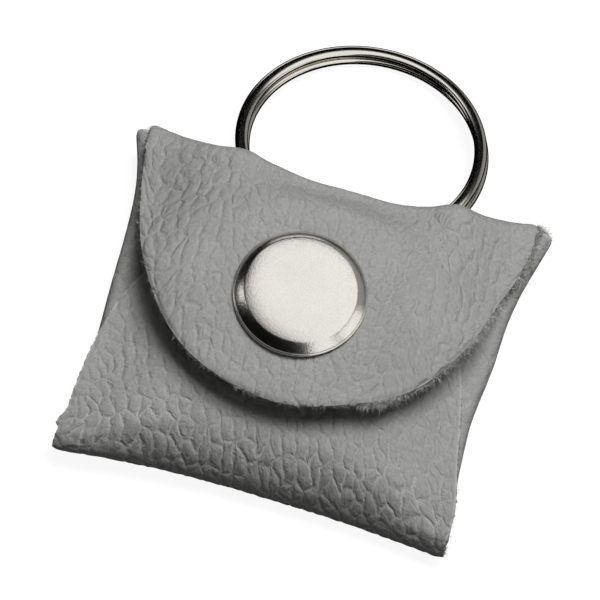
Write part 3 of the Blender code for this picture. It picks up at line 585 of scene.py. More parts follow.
class Blank:
    """The mid surface of the whole folded blank, its patches and what is known at each point."""

    def __init__(self):
        self.points = []
        self.flat = []          # where the point lies in the unfolded blank
        self.depth = []         # how deep the grain is there
        self.edge = []          # distance to the nearest cut edge
        self.patches = {}

    def add(self, points, flat, depth, edge):
        """Stores a grid of points and gives back their numbers."""
        rows, columns = points.shape[:2]
        first = sum(len(part) for part in self.points)
        self.points.append(points.reshape(-1, 3))
        self.flat.append(flat.reshape(-1, 2))
        self.depth.append(np.broadcast_to(depth, (rows, columns)).reshape(-1))
        self.edge.append(np.broadcast_to(edge, (rows, columns)).reshape(-1))
        return np.arange(first, first + rows * columns).reshape(rows, columns)

    def patch(self, name, numbers, grain_is_left):
        """Names a grid of point numbers; the flag says on which side of its quads the grain lies."""
        corners = [numbers[:-1, :-1], numbers[:-1, 1:], numbers[1:, 1:], numbers[1:, :-1]]
        quads = np.stack([corner.reshape(-1) for corner in corners], axis=1)
        self.patches[name] = quads if grain_is_left else quads[:, ::-1]

    def close(self):
        self.points = np.concatenate(self.points)
        self.flat = np.concatenate(self.flat)
        self.depth = np.concatenate(self.depth)
        self.edge = np.concatenate(self.edge)
        quads = np.concatenate(list(self.patches.values()))
        corner = self.points[quads]
        facing = np.cross(corner[:, 2] - corner[:, 0], corner[:, 3] - corner[:, 1])
        normals = np.zeros_like(self.points)
        for place in range(4):
            np.add.at(normals, quads[:, place], facing)
        self.normals = normals / np.maximum(np.linalg.norm(normals, axis=1), 1e-20)[:, None]


def settled(x, y, z, corner_flare):
    """The blank as it really lies: slightly out of square, with its top corners spread."""
    left = grown(x, LEFT_SPAN)
    new_y = y + grown(y, RAISE_SPAN) * mix(RAISE_RIGHT, RAISE_LEFT, left)
    new_x = x - NARROW_RIGHT * grown(y, NARROW_SPAN_Y) * grown(x, NARROW_SPAN_X)
    beside = ease(1 - np.abs(y - SPREAD_Y) / SPREAD_HALF_LENGTH)
    new_x = new_x - SPREAD_LEFT * grown(x, SPREAD_SPAN_X) * beside
    wide = grown(y, FLARE_RIGHT_SPAN) ** FLARE_RIGHT_POWER * corner_flare
    high = grown(y, FLARE_LEFT_SPAN) ** FLARE_LEFT_POWER * corner_flare ** 2
    new_x = new_x + wide * FLARE_RIGHT * ease(x / FLARE_REACH)
    new_x = new_x - high * FLARE_LEFT * ease(-x / FLARE_REACH)
    new_y = new_y + high * CORNER_RISE * grown(np.abs(x), CORNER_SPAN_X)
    drop = BOTTOM_DROP * mix(1, BOTTOM_DROP_LEFT_SHARE, left) * grown(y, BOTTOM_DROP_SPAN)
    return stacked(new_x - SIGHT_SLOPE[0] * drop, new_y - SIGHT_SLOPE[1] * drop, z - drop)


def front_spread(x, y):
    """How far a point of the front lobe moves sideways near the bottom corners."""
    right = FRONT_SPREAD_RIGHT * grown(y, FRONT_SPREAD_RIGHT_SPAN) * grown(x, CORNER_SPAN_X)
    left = FRONT_SPREAD_LEFT * grown(y, FRONT_SPREAD_LEFT_SPAN) * grown(-x, CORNER_SPAN_X)
    return right - left


def free_edge_lift(x, y):
    """How far the stiff flap stands off the front lobe towards its free edge."""
    side = mix(LIFT_LEFT, LIFT_RIGHT, grown(x, LIFT_CHANGE_SPAN))
    return side * grown(np.abs(x - SNAP_X), LIFT_SPAN_X) * grown(y, LIFT_SPAN_Y)


def crest_sink(x, y):
    """How far the top fold sags between the two posts of the ring."""
    across = ease(SINK_STEEPNESS * (1 - np.abs(x - SINK_X) / SINK_HALF_WIDTH))
    return across * grown(y, SINK_SPAN_Y)


def ring_tent(x, share):
    """Lift of the fold where the ring pushes it out beside each hole."""
    half_chord = math.sqrt(RING_MEAN_RADIUS ** 2 - (RING_PROUD / math.cos(RING_TILT)) ** 2)
    offsets = [(x - RING_X - side * half_chord) / TENT_HALF_WIDTH for side in (-1, 1)]
    return TENT_HEIGHT * share * sum(np.exp(-offset ** 2) for offset in offsets)


def undulation(x, y):
    """Slow waves of hand-folded leather, the same for all the layers that lie on each other."""
    run = UNDULATION_RUN
    waves = [noise.noise(Vector((a / run, b / run, 0.3))) for a, b in zip(np.ravel(x), np.ravel(y))]
    return UNDULATION * np.reshape(waves, np.shape(x))


def add_panel(blank):
    across, up = np.meshgrid(ACROSS, UP)
    x, y = panel_point(across, up)
    points = settled(x, y, back_height(across, up), 1)
    numbers = blank.add(points, stacked(x, y), PANEL_GRAIN, FAR_FROM_CUT)
    blank.patch("panel", numbers, False)
    return numbers


def side_outline(side, up):
    """The cut edge of a side lobe, from the bottom end of its fold to the top end."""
    tip = LEFT_LOBE_TIP if side < 0 else RIGHT_LOBE_TIP
    reach = side_crease(0) + tip
    crease_x, crease_y = panel_point(1, up)
    run = reach * (1 - np.abs(up) ** SIDE_LOBE_POWER) ** (1 / SIDE_LOBE_POWER)
    run = np.maximum(LOBE_ROOT, run)
    y = mix(crease_y, up * SIDE_LOBE_HALF_SPAN, run / reach)
    return np.column_stack([side * (crease_x - run), y])


def add_side_lobe(blank, side, panel):
    """A side fold and its lobe, from the panel's side edge over the fold towards the middle."""
    crease_x, crease_y = panel_point(1, UP)
    roll = side_roll(UP)
    turn = HALF_TURN * step_ends(SIDE_ROLL_STEPS)
    rise = back_height(1, UP) + roll * (1 - np.cos(turn))
    points = settled(side * (crease_x + roll * np.sin(turn)), crease_y, rise, 1)
    flat = stacked(side * (crease_x + roll * turn), crease_y)
    numbers = blank.add(points, flat, SIDE_GRAIN, end_gap(crease_y))
    base = np.column_stack([side * crease_x, crease_y])
    fine_up = np.sin(QUARTER_TURN * np.linspace(-1, 1, OUTLINE_POINTS))
    outline = np.vstack([base[:1], side_outline(side, fine_up), base[-1:]])[::-1]
    x, y, edge = lobe_grid(base, outline, SIDE_STEPS, SIDE_OUTLINE_SHARE)
    height = left_lobe_height if side < 0 else inner_height
    points = settled(x, y, height(x, y) + undulation(x, y), 1)
    flat = stacked(side * (2 * crease_x + HALF_TURN * roll) - x, y)
    more = blank.add(points, flat, SIDE_GRAIN, edge)
    root = panel[:, 0] if side < 0 else panel[:, -1]
    name = "left_lobe" if side < 0 else "right_lobe"
    blank.patch(name, np.vstack([root[None], numbers, more]), side > 0)


def front_outline(base):
    turn = np.linspace(0, HALF_TURN, OUTLINE_POINTS)
    x, y = superellipse(turn, FRONT_LOBE_HALF_WIDTH, FRONT_LOBE_LENGTH, FRONT_LOBE_POWER)
    x = x + FRONT_LOBE_SHIFT
    y = y - BOTTOM_REACH_MID
    kept = y > base[0, 1] + LOBE_ROOT
    return np.vstack([base[-1:], np.column_stack([x, y])[kept], base[:1]])


def bottom_fold(crease_x, crease_y, low):
    """The bottom fold in two quarter ellipses, up to its outermost line and on into the front."""
    reach = fold_measure(FOLD_REACHES, ACROSS)
    fold_rise = fold_measure(FOLD_RISES, ACROSS)
    turn = QUARTER_TURN * step_ends(FRONT_ROLL_STEPS)
    lower = stacked(crease_x, crease_y - reach * np.sin(turn), low + fold_rise * (1 - np.cos(turn)))
    end = shoulder_turn(ACROSS, -1.0)
    turn = mix(QUARTER_TURN, np.arcsin(end), step_ends(FRONT_ROLL_STEPS))
    out_share = (np.sin(turn) - end) / (1 - end)
    full_rise = front_lobe_height(crease_x, crease_y) - low - fold_rise
    rise = full_rise * np.cos(turn) / np.cos(np.arcsin(end))
    upper = stacked(crease_x, crease_y - reach * out_share, low + fold_rise + rise)
    return np.concatenate([lower, upper]), fold_rise


def add_front_lobe(blank, panel):
    """The bottom fold and the front lobe, from the panel's bottom edge over the fold upwards."""
    crease_x, crease_y = panel_point(ACROSS, np.full_like(ACROSS, -1.0))
    low = back_height(ACROSS, -1)
    fold, fold_rise = bottom_fold(crease_x, crease_y, low)
    x, y, z = np.moveaxis(fold, -1, 0)
    points = settled(x + front_spread(x, y) * ease((z - low) / fold_rise), y, z, 1)
    travel = travelled(stacked(crease_x, crease_y, low), fold)
    flat = stacked(crease_x, crease_y - travel)
    numbers = blank.add(points, flat, FOLD_GRAIN, end_gap(crease_x))
    base = np.column_stack([crease_x, crease_y])
    x, y, edge = lobe_grid(base, front_outline(base), FRONT_STEPS, FRONT_OUTLINE_SHARE)
    points = settled(x + front_spread(x, y), y, front_lobe_height(x, y) + undulation(x, y), 1)
    flat = stacked(x + GRAIN_SHEAR * (y - crease_y), 2 * crease_y - travel[-1] - y)
    depth = mix(FOLD_GRAIN, FRONT_GRAIN, ease((y + BOTTOM_REACH_MID) / FRONT_GRAIN_RUN))
    more = blank.add(points, flat, depth, edge)
    blank.patch("front_lobe", np.vstack([panel[:1], numbers, more]), True)


def flap_outline():
    first = math.asin((FLAP_ROOT_Y - BEND_Y) / FLAP_LENGTH)
    turn = np.linspace(first, HALF_TURN - first, OUTLINE_POINTS)
    x, y = superellipse(turn, FLAP_HALF_WIDTH, FLAP_LENGTH, 2)
    y = FLAP_ROOT_Y - y
    x = x + FLAP_TIP_LEAN * (BEND_Y - y) / FLAP_LENGTH
    for degrees, spread, inward in FLAP_DENTS:
        dent = inward * np.exp(-((np.degrees(turn) - degrees) / spread) ** 2)
        x = x - dent * np.cos(turn)
        y = y + dent * np.sin(turn)
    return np.column_stack([x, y])


def add_top_fold_and_flap(blank, panel):
    """The top fold and the flap, from the panel's top edge over the fold and down the front."""
    start_x, start_y = panel_point(ACROSS, np.ones_like(ACROSS))
    low = back_height(ACROSS, 1)
    outline = flap_outline()
    bend_x = ACROSS * outline[0, 0]
    bend_y = np.full_like(bend_x, BEND_Y)
    high = flap_height(bend_x, bend_y) + undulation(bend_x, bend_y)
    crest = mix(low, high, CREST_HEIGHT_SHARE)
    crest_y = start_y + top_roll(ACROSS)
    share = step_ends(FOLD_STEPS)
    turn = HALF_TURN * share
    below = turn < QUARTER_TURN
    x = mix(start_x, bend_x, share)
    tent = ring_tent(x, grown(share, TENT_FOLD_SPAN))
    y = mix(np.where(below, start_y, bend_y), crest_y, np.sin(turn)) + tent * np.abs(np.sin(turn))
    z = mix(crest, np.where(below, low, high), np.abs(np.cos(turn)))
    z = z + tent * np.where(below, 0, -np.cos(turn))
    sink = crest_sink(x, y) * grown(share, SINK_FOLD_SPAN)
    points = settled(x, y - SINK_BACK * sink, z - SINK_DOWN * sink, grown(share, FLARE_FOLD_SPAN))
    travel = travelled(stacked(start_x, start_y, low), points)
    numbers = blank.add(points, stacked(x, start_y + travel), TOP_FOLD_GRAIN, end_gap(x))
    base = np.column_stack([bend_x, bend_y])
    x, y, edge = lobe_grid(base, outline, FLAP_STEPS, FLAP_OUTLINE_SHARE)
    depth = mix(CAP_GRAIN, FLAP_GRAIN, grown(np.hypot(x - SNAP_X, y - SNAP_Y), FLAP_GRAIN_SPAN))
    sink = crest_sink(x, y)
    rise = free_edge_lift(x, y)
    tent = ring_tent(x, grown(y, (BEND_Y - TENT_RUN, BEND_Y)))
    z = flap_height(x, y) + undulation(x, y) + tent - SINK_DOWN * sink + rise
    points = stacked(x + SIGHT_SLOPE[0] * rise, y + SIGHT_SLOPE[1] * rise - SINK_BACK * sink, z)
    more = blank.add(points, stacked(x, start_y + travel[-1] + BEND_Y - y), depth, edge)
    blank.patch("flap", np.vstack([panel[-1:], numbers, more]), False)


def pierce(blank, name):
    """Cuts the round holes that the key ring runs through, where it crosses the patch."""
    centre, across, along, normal = [np.array(part) for part in ring_frame()]
    offset = blank.points - centre
    side, forth, up = [offset @ axis for axis in (across, along, normal)]
    radial = np.hypot(side, forth) - RING_WIRE_RADIUS
    gap = np.hypot(radial, up)
    quads = blank.patches[name]
    cut = (gap[quads] < HOLE_RADIUS).any(axis=1)
    blank.patches[name] = quads[~cut]
    rim = np.intersect1d(quads[cut], quads[~cut])
    reach = (HOLE_RADIUS / gap[rim] - 1)[:, None]
    outward = unit(side[rim, None] * across + forth[rim, None] * along)
    blank.points[rim] += reach * (radial[rim, None] * outward + up[rim, None] * normal)
    blank.edge[rim] = 0


# Leather meshes

def unit(vectors):
    return vectors / np.maximum(np.linalg.norm(vectors, axis=1), 1e-9)[:, None]


def placed(name, data):
    """A new object in the scene."""
    item = bpy.data.objects.new(name, data)
    bpy.context.scene.collection.objects.link(item)
    return item


def note_values(mesh, name, kind, key, values):
    """Stores a value for each point of a mesh."""
    values = np.asarray(values, np.float32).ravel()
    mesh.attributes.new(name, kind, "POINT").data.foreach_set(key, values)


def open_edges(quads, count):
    """The edges that only one quad has, as numbers of their starts and ends."""
    starts = quads.reshape(-1)
    ends = np.roll(quads, -1, axis=1).reshape(-1)
    alone = ~np.isin(starts * count + ends, ends * count + starts)
    return starts[alone], ends[alone]


def leather_piece(name, blank, patch_names, materials, scuff):
    """A closed mesh with the leather's thickness: grain side, flesh side and frayed cut edge."""
    quads = np.concatenate([blank.patches[part] for part in patch_names])
    used, quads = np.unique(quads, return_inverse=True)
    quads = quads.reshape(-1, 4)
    points, normals, edge = blank.points[used], blank.normals[used], blank.edge[used]
    drop = EDGE_DROP * np.exp(-(edge / EDGE_DROP_RUN) ** 2)
    outer = points + normals * (HALF_LEATHER - drop)[:, None]
    inner = points - normals * (HALF_LEATHER - drop / 2)[:, None]
    count = len(used)
    verts = [outer, inner]
    faces = [quads, quads[:, ::-1] + count]
    kinds = [np.zeros(len(quads), int), np.full(len(quads), 2)]
    rim_starts, rim_ends = open_edges(quads, count)
    rim_points = np.unique(rim_starts)
    levels = [rim_points]
    rng = np.random.default_rng(FRAY_SEED)
    total = 2 * count
    for step in range(1, RIM_STEPS):
        fray = rng.normal(0, RIM_FRAY, (len(rim_points), 3))
        verts.append(mix(outer[rim_points], inner[rim_points], step / RIM_STEPS) + fray)
        levels.append(np.arange(total, total + len(rim_points)))
        total += len(rim_points)
    levels.append(rim_points + count)
    starts = np.searchsorted(rim_points, rim_starts)
    ends = np.searchsorted(rim_points, rim_ends)
    for upper, lower in zip(levels, levels[1:]):
        faces.append(np.stack([upper[ends], upper[starts], lower[starts], lower[ends]], axis=1))
        kinds.append(np.ones(len(starts), int))
    verts = np.concatenate(verts)
    mesh = bpy.data.meshes.new(name)
    mesh.from_pydata(verts.tolist(), [], np.concatenate(faces).tolist())
    mesh.polygons.foreach_set("material_index", np.concatenate(kinds))
    for material in materials:
        mesh.materials.append(material)
    own = np.concatenate([np.arange(count)] * 2 + [rim_points] * (RIM_STEPS - 1))
    flat = np.column_stack([blank.flat[used][own], np.zeros(len(verts))])
    note_values(mesh, "blank", "FLOAT_VECTOR", "vector", flat / MM)
    grain_side = np.arange(len(verts)) < count
    depth = blank.depth[used] * mix(1.0, CUT_GRAIN_SHARE, np.exp(-edge / CUT_GRAIN_RUN))
    note_values(mesh, "grain", "FLOAT", "value", depth[own] * grain_side)
    worn = scuff * np.exp(-(edge / SCUFF_RUN) ** 2) * grown(points[:, 2], SCUFF_SPAN_Z)
    note_values(mesh, "scuffed", "FLOAT", "value", worn[own] * grain_side)
    near_cut = (edge[rim_starts] < NEAR_CUT) & (edge[rim_ends] < NEAR_CUT)
    starts, ends = rim_starts[near_cut], rim_ends[near_cut]
    return placed(name, mesh), (outer[starts], inner[starts], unit(points[ends] - points[starts]))


def strips(first, rings, around):
    """Corners of the quads between closed rings of points: two below, then the two above them."""
    for low in range(first, first + (rings - 1) * around, around):
        for corner in range(around):
            beside = (corner + 1) % around
            yield low + corner, low + beside, low + around + corner, low + around + beside


def add_fibres(name, cut, count, longest, seed, material):
    """Loose leather fibres that stand out of a cut edge, each a thin tapered thread."""
    rng = np.random.default_rng(seed)
    tufts = np.array([noise.noise(Vector(spot) / FIBRE_TUFT_RUN) for spot in cut[0]])
    crowded = 1 + FIBRE_CROWD * grown(cut[0][:, 0], FIBRE_CROWD_SPAN)
    odds = crowded * np.exp(FIBRE_TUFTING * tufts)
    pick = rng.choice(len(odds), count, p=odds / odds.sum())
    top, bottom, tangent = [part[pick] for part in cut]
    up = unit(top - bottom)
    outward = np.cross(tangent, up)
    base = mix(bottom, top, rng.uniform(*FIBRE_ROOTS, (count, 1))) - FIBRE_ROOT_DEPTH * outward
    aim = outward + rng.normal(0, FIBRE_SPLAY, (count, 1)) * tangent
    aim = unit(aim + rng.normal(*FIBRE_DROOP, (count, 1)) * up)
    curl = rng.normal(0, FIBRE_CURL, (count, 3))
    full_length = mix(FIBRE_SHORT_SHARE, 1.0, crowded[pick][:, None] / (1 + FIBRE_CROWD))
    length = longest * full_length * rng.uniform(*FIBRE_LENGTHS, (count, 1)) ** FIBRE_LENGTH_POWER
    side = unit(np.cross(aim, curl))
    other = np.cross(aim, side)
    verts = []
    for step in range(FIBRE_STEPS + 1):
        share = step / FIBRE_STEPS
        middle = base + length * (aim * share + curl * share ** 2)
        radius = FIBRE_RADIUS * (1 - FIBRE_TAPER * share)
        for corner in range(FIBRE_SIDES):
            turn = FULL_TURN * corner / FIBRE_SIDES
            verts.append(middle + radius * (math.cos(turn) * side + math.sin(turn) * other))
    verts = np.stack(verts, axis=1).reshape(-1, 3)
    faces = []
    for first in range(0, len(verts), FIBRE_SIDES * (FIBRE_STEPS + 1)):
        faces += [(a, b, d, c) for a, b, c, d in strips(first, FIBRE_STEPS + 1, FIBRE_SIDES)]
        faces.append(tuple(first + corner for corner in reversed(range(FIBRE_SIDES))))
        faces.append(tuple(first + FIBRE_SIDES * FIBRE_STEPS + corner for corner in range(FIBRE_SIDES)))
    return linked(name, verts.tolist(), faces, material, WIRE_SHARP)


# Grain: the same pattern of nodes raises the mesh and shades it finely

def joined(tree, node, inputs):
    """Sets a node's inputs to values, or links them to sockets, and gives back the node."""
    for key, value in inputs.items():
        if isinstance(value, bpy.types.NodeSocket):
            tree.links.new(value, node.inputs[key])
        else:
            node.inputs[key].default_value = value
    return node


def chain(tree, kind, inputs, **settings):
    """Adds a node with its settings and inputs."""
    node = tree.nodes.new(kind)
    for key, value in settings.items():
        setattr(node, key, value)
    return joined(tree, node, inputs)


def maths(tree, operation, first, second=0.0, third=0.0):
    node = chain(tree, "ShaderNodeMath", {0: first, 1: second, 2: third}, operation=operation)
    return node.outputs[0]


def vector_maths(tree, operation, first, second=(0, 0, 0), output="Vector"):
    node = chain(tree, "ShaderNodeVectorMath", {0: first, 1: second}, operation=operation)
    return node.outputs[output]


def scaled(tree, vector, factor):
    return chain(tree, "ShaderNodeVectorMath", {0: vector, "Scale": factor}, operation="SCALE").outputs[0]


def remapped(tree, value, span, shown=(0.0, 1.0)):
    """Goes from the first to the second value shown while the input crosses the span."""
    ends = {"From Min": span[0], "From Max": span[1], "To Min": shown[0], "To Max": shown[1]}
    node = chain(tree, "ShaderNodeMapRange", {"Value": value, **ends}, interpolation_type="SMOOTHSTEP")
    return node.outputs["Result"]


def noise_at(tree, place, scale, detail=2.0, roughness=0.5, output="Fac"):
    kind = {"Vector": place, "Scale": scale, "Detail": detail, "Roughness": roughness}
    return chain(tree, "ShaderNodeTexNoise", kind).outputs[output]


def clouds(tree, place, pattern, shown=(0.0, 1.0)):
    kind, span = pattern
    return remapped(tree, noise_at(tree, place, *kind), span, shown)


def stretched(tree, place, across, along, turn):
    """A place turned about Z and measured in cells of the given size."""
    turned_place = chain(tree, "ShaderNodeVectorRotate", {"Vector": place, "Angle": turn},
                         rotation_type="Z_AXIS").outputs[0]
    return vector_maths(tree, "MULTIPLY", turned_place, (1 / across, 1 / along, 1))


def cells(tree, place, across, along, turn, uneven):
    """Distance to the nearest border of irregular cells, in the unit of the place, and its direction.

    The cells are long, and the distance is a true one, so that borders are as wide one way as the other.
    The direction is 1 at a border that runs along the cells and 0 at one that runs across them.
    """
    spot = stretched(tree, place, across, along, turn)
    centres = []
    for feature in ("F1", "F2"):
        node = chain(tree, "ShaderNodeTexVoronoi", {"Vector": spot, "Scale": 1.0, "Randomness": uneven},
                     feature=feature, voronoi_dimensions="2D")
        centres.append(node.outputs["Position"])
    middle = scaled(tree, vector_maths(tree, "ADD", *centres), 0.5)
    apart = vector_maths(tree, "SUBTRACT", *centres)
    inward = vector_maths(tree, "DOT_PRODUCT", vector_maths(tree, "SUBTRACT", spot, middle), apart, "Value")
    slope = vector_maths(tree, "MULTIPLY", apart, (1 / across, 1 / along, 0))
    steepness = vector_maths(tree, "LENGTH", slope, output="Value")
    distance = maths(tree, "DIVIDE", inward, maths(tree, "MAXIMUM", steepness, 0.001))
    sideways = chain(tree, "ShaderNodeSeparateXYZ", {0: vector_maths(tree, "NORMALIZE", apart)})
    return distance, maths(tree, "ABSOLUTE", sideways.outputs["X"])


def pebbles(tree, place, crease_width):
    """Height of the pebble grain, about 0 in the creases and 1 on the pebbles.

    place is a position in the unfolded blank in millimetres; crease_width is half a crease.
    """
    wander = noise_at(tree, place, *WANDER_NOISE, output="Color")
    pushed = vector_maths(tree, "SUBTRACT", wander, (0.5, 0.5, 0.5))
    warped = vector_maths(tree, "ADD", place, scaled(tree, pushed, WANDER))
    distances = []
    dips = []
    for shape, scale, span, strengths, across_share in PEBBLES:
        distance, along = cells(tree, warped, *shape)
        crease = remapped(tree, distance, (0.0, crease_width), (1.0, 0.0))
        strength = clouds(tree, place, ((scale, 1.0), span), strengths)
        kept = remapped(tree, along, ALONG_SPAN, (across_share, 1.0))
        distances.append(distance)
        dips.append(maths(tree, "MULTIPLY", crease, maths(tree, "MULTIPLY", strength, kept)))
    dome = remapped(tree, distances[0], (0.0, PEBBLE_DOME_REACH))
    height = maths(tree, "MULTIPLY_ADD", dome, PEBBLE_DOME, 1 - PEBBLE_DOME)
    return maths(tree, "MULTIPLY_ADD", maths(tree, "MAXIMUM", *dips), -CREASE_DEPTH, height)


def raise_grain(item):
    """Lifts the grain side's pebbles in the mesh itself, and leaves a plain mesh."""
    tree = bpy.data.node_groups.new("raised_grain", "GeometryNodeTree")
    for way in ("INPUT", "OUTPUT"):
        tree.interface.new_socket("Geometry", in_out=way, socket_type="NodeSocketGeometry")
    entry = tree.nodes.new("NodeGroupInput")
    leave = tree.nodes.new("NodeGroupOutput")
    place, depth = [chain(tree, "GeometryNodeInputNamedAttribute", {"Name": name}, data_type=kind)
                    for name, kind in (("blank", "FLOAT_VECTOR"), ("grain", "FLOAT"))]
    height = maths(tree, "SUBTRACT", pebbles(tree, place.outputs["Attribute"], MESH_CREASE), 1.0)
    height = maths(tree, "MULTIPLY", height, depth.outputs["Attribute"])
    height = maths(tree, "MULTIPLY", height, RELIEF_DEPTH)
    push = scaled(tree, tree.nodes.new("GeometryNodeInputNormal").outputs[0], height)
    moved = chain(tree, "GeometryNodeSetPosition", {"Geometry": entry.outputs[0], "Offset": push})
    tree.links.new(moved.outputs[0], leave.inputs[0])
    item.modifiers.new("raised_grain", "NODES").node_group = tree
    graph = bpy.context.evaluated_depsgraph_get()
    shaped = bpy.data.meshes.new_from_object(item.evaluated_get(graph))
    item.modifiers.clear()
    plain = item.data
    item.data = shaped
    shaped.name = item.name
    bpy.data.meshes.remove(plain)
    item.data.shade_smooth()
    item.data.set_sharp_from_angle(angle=math.radians(LEATHER_SHARP))


# Materials

def new_material(name):
    material = bpy.data.materials.new(name)
    material.use_nodes = True
    tree = material.node_tree
    return material, tree, tree.nodes["Principled BSDF"]


def blended(tree, share, first, second):
    """Mixes two colours by a socket."""
    node = chain(tree, "ShaderNodeMix", {"Factor": share}, data_type="RGBA")
    slots = [socket for socket in node.inputs if socket.type == "RGBA"]
    for socket, value in zip(slots, (first, second)):
        if isinstance(value, bpy.types.NodeSocket):
            tree.links.new(value, socket)
        else:
            socket.default_value = (*value, 1)
    return [socket for socket in node.outputs if socket.type == "RGBA"][0]


def bumped(tree, height, distance, **below):
    inputs = {"Height": height, "Distance": distance, "Strength": 1.0, **below}
    return chain(tree, "ShaderNodeBump", inputs).outputs[0]


def noted(tree, name, output="Fac"):
    """What note_values stored under this name."""
    return chain(tree, "ShaderNodeAttribute", {}, attribute_name=name).outputs[output]


def grain_leather():
    material, tree, surface = new_material("grain_leather")
    place = noted(tree, "blank", "Vector")
    depth = noted(tree, "grain")
    height = pebbles(tree, place, SHADED_CREASE)
    colour = blended(tree, clouds(tree, place, PATCHES), *GRAIN_COLOURS)
    # Painted highlight: paler creases, and much paler ones in the bottom fold
    fold = remapped(tree, depth, (FRONT_GRAIN, FOLD_GRAIN))
    lit_crease_colour = blended(tree, fold, LIT_CREASE_COLOUR, FOLD_LIT_CREASE_COLOUR)
    colour = blended(tree, remapped(tree, height, LIT_CREASE_SPAN), lit_crease_colour, colour)
    colour = blended(tree, clouds(tree, place, SPECKS), colour, SPECK_COLOUR)
    colour = blended(tree, clouds(tree, place, MOTTLE, (0.0, MOTTLE_SHARE)), colour, MOTTLE_COLOUR)
    colour = blended(tree, noted(tree, "scuffed"), colour, SCUFF_COLOUR)
    fine = noise_at(tree, place, *FINE[0])
    pores, _ = cells(tree, place, *PORES)
    pore_height = remapped(tree, pores, (0.0, PORE_WIDTH))
    micro = maths(tree, "MULTIPLY_ADD", pore_height, PORE_BUMP, maths(tree, "MULTIPLY", fine, FINE_BUMP))
    shown = maths(tree, "MULTIPLY_ADD", depth, *BUMP_SHARES)
    total = maths(tree, "MULTIPLY_ADD", maths(tree, "MULTIPLY", height, shown), BUMP_GAIN, micro)
    rough = remapped(tree, fine, FINE[1], LEATHER_ROUGHNESS)
    joined(tree, surface, {"Base Color": colour, "Roughness": rough, "Specular IOR Level": LEATHER_SHINE,
                           "Normal": bumped(tree, total, BUMP_DEPTH)})
    return material


def fibre_leather(name, dark, light, scale, relief):
    """Bare leather without its grain: the flesh side and the cut edge."""
    material, tree, surface = new_material(name)
    place = chain(tree, "ShaderNodeTexCoord", {}).outputs["Object"]
    coarse = noise_at(tree, place, scale, *BARE_COARSE)
    fine = noise_at(tree, place, scale * BARE_FINE_SCALE, *BARE_FINE)
    fine_part = maths(tree, "MULTIPLY", fine, BARE_SHARES[1])
    both = maths(tree, "MULTIPLY_ADD", coarse, BARE_SHARES[0], fine_part)
    colour = blended(tree, remapped(tree, both, BARE_SPAN), dark, light)
    joined(tree, surface, {"Base Color": colour, "Roughness": BARE_ROUGHNESS,
                           "Specular IOR Level": BARE_SHINE, "Normal": bumped(tree, both, relief)})
    return material


def nickel(name, roughness, colour, scratch_depth, grit_depth):
    """Nickel plate with slight tarnish, hairline scratches and the fine grit of a satin finish."""
    material, tree, surface = new_material(name)
    place = chain(tree, "ShaderNodeTexCoord", {}).outputs["Object"]
    dull = tuple(channel * DULL_SHARE for channel in colour)
    speckled = tuple(channel * SPECK_SHARE for channel in dull)
    tarnish = blended(tree, clouds(tree, place, TARNISH, (0.0, TARNISH_SHARE)), colour, dull)
    grit = noise_at(tree, place, *GRIT[0])
    speckling = min(1.0, SPECKLING * grit_depth)
    tarnish = blended(tree, remapped(tree, grit, GRIT[1], (0.0, speckling)), tarnish, speckled)
    hairlines = noise_at(tree, stretched(tree, place, *HAIRLINE_SIZE), *HAIRLINES[0])
    roughnesses = [roughness * share for share in NICKEL_ROUGHNESS_SHARES]
    rough = remapped(tree, hairlines, HAIRLINES[1], roughnesses)
    scratched = bumped(tree, hairlines, scratch_depth)
    joined(tree, surface, {"Base Color": tarnish, "Metallic": 1.0, "Roughness": rough,
                           "Normal": bumped(tree, grit, grit_depth, Normal=scratched)})
    return material


# Metal pieces

def linked(name, verts, faces, material, sharp_degrees=PLAIN_SHARP):
    mesh = bpy.data.meshes.new(name)
    mesh.from_pydata(verts, [], faces)
    mesh.shade_smooth()
    mesh.set_sharp_from_angle(angle=math.radians(sharp_degrees))
    mesh.materials.append(material)
    return placed(name, mesh)


def turned(name, profile, base, material, sharp_degrees):
    """A piece turned round the snap's axis from a line of (radius, height), outer side to the right."""
    verts = []
    rings = []
    for radius, height in profile:
        steps = TURN_STEPS if radius > 0 else 1
        rings.append(range(len(verts), len(verts) + steps))
        for step in range(steps):
            turn = FULL_TURN * step / TURN_STEPS
            verts.append((SNAP_X + radius * math.cos(turn), SNAP_Y + radius * math.sin(turn), base + height))
    closed = profile[0][0] > 0
    pairs = zip(rings, rings[1:] + ([rings[0]] if closed else []))
    faces = []
    for upper, lower in pairs:
        for step in range(TURN_STEPS):
            after = (step + 1) % TURN_STEPS
            corners = [upper[step % len(upper)], lower[step % len(lower)],
                       lower[after % len(lower)], upper[after % len(upper)]]
            faces.append(list(dict.fromkeys(corners)))
    return linked(name, verts, faces, material, sharp_degrees)


def cap_outside():
    """The outer line of the cap: a low crown, then a shoulder that turns down quickly and runs straight."""
    points = [(0, CAP_HEIGHT)]
    for step in range(1, CROWN_STEPS + 1):
        share = step / CROWN_STEPS
        points.append((CAP_CROWN_RADIUS * share, CAP_HEIGHT - CAP_CROWN * share ** CAP_CROWN_POWER))
    step_width = (CAP_RADIUS - CAP_BEAD - CAP_CROWN_RADIUS) / CROWN_STEPS
    for step in range(CROWN_STEPS):
        tilt = math.radians(np.interp((step + 0.5) / CROWN_STEPS, *CAP_SHOULDER_TILTS))
        radius, height = points[-1]
        points.append((radius + step_width, height - step_width * math.tan(tilt)))
    return points


def bead_points():
    """The rolled rim of the cap, from its side down to its underside."""
    radius = CAP_LIP_HEIGHT / 2
    points = []
    for step in range(BEAD_STEPS + 1):
        turn = math.radians(mix(*BEAD_DEGREES, step / BEAD_STEPS))
        points.append((CAP_RADIUS - radius + radius * math.cos(turn), radius + radius * math.sin(turn)))
    return points


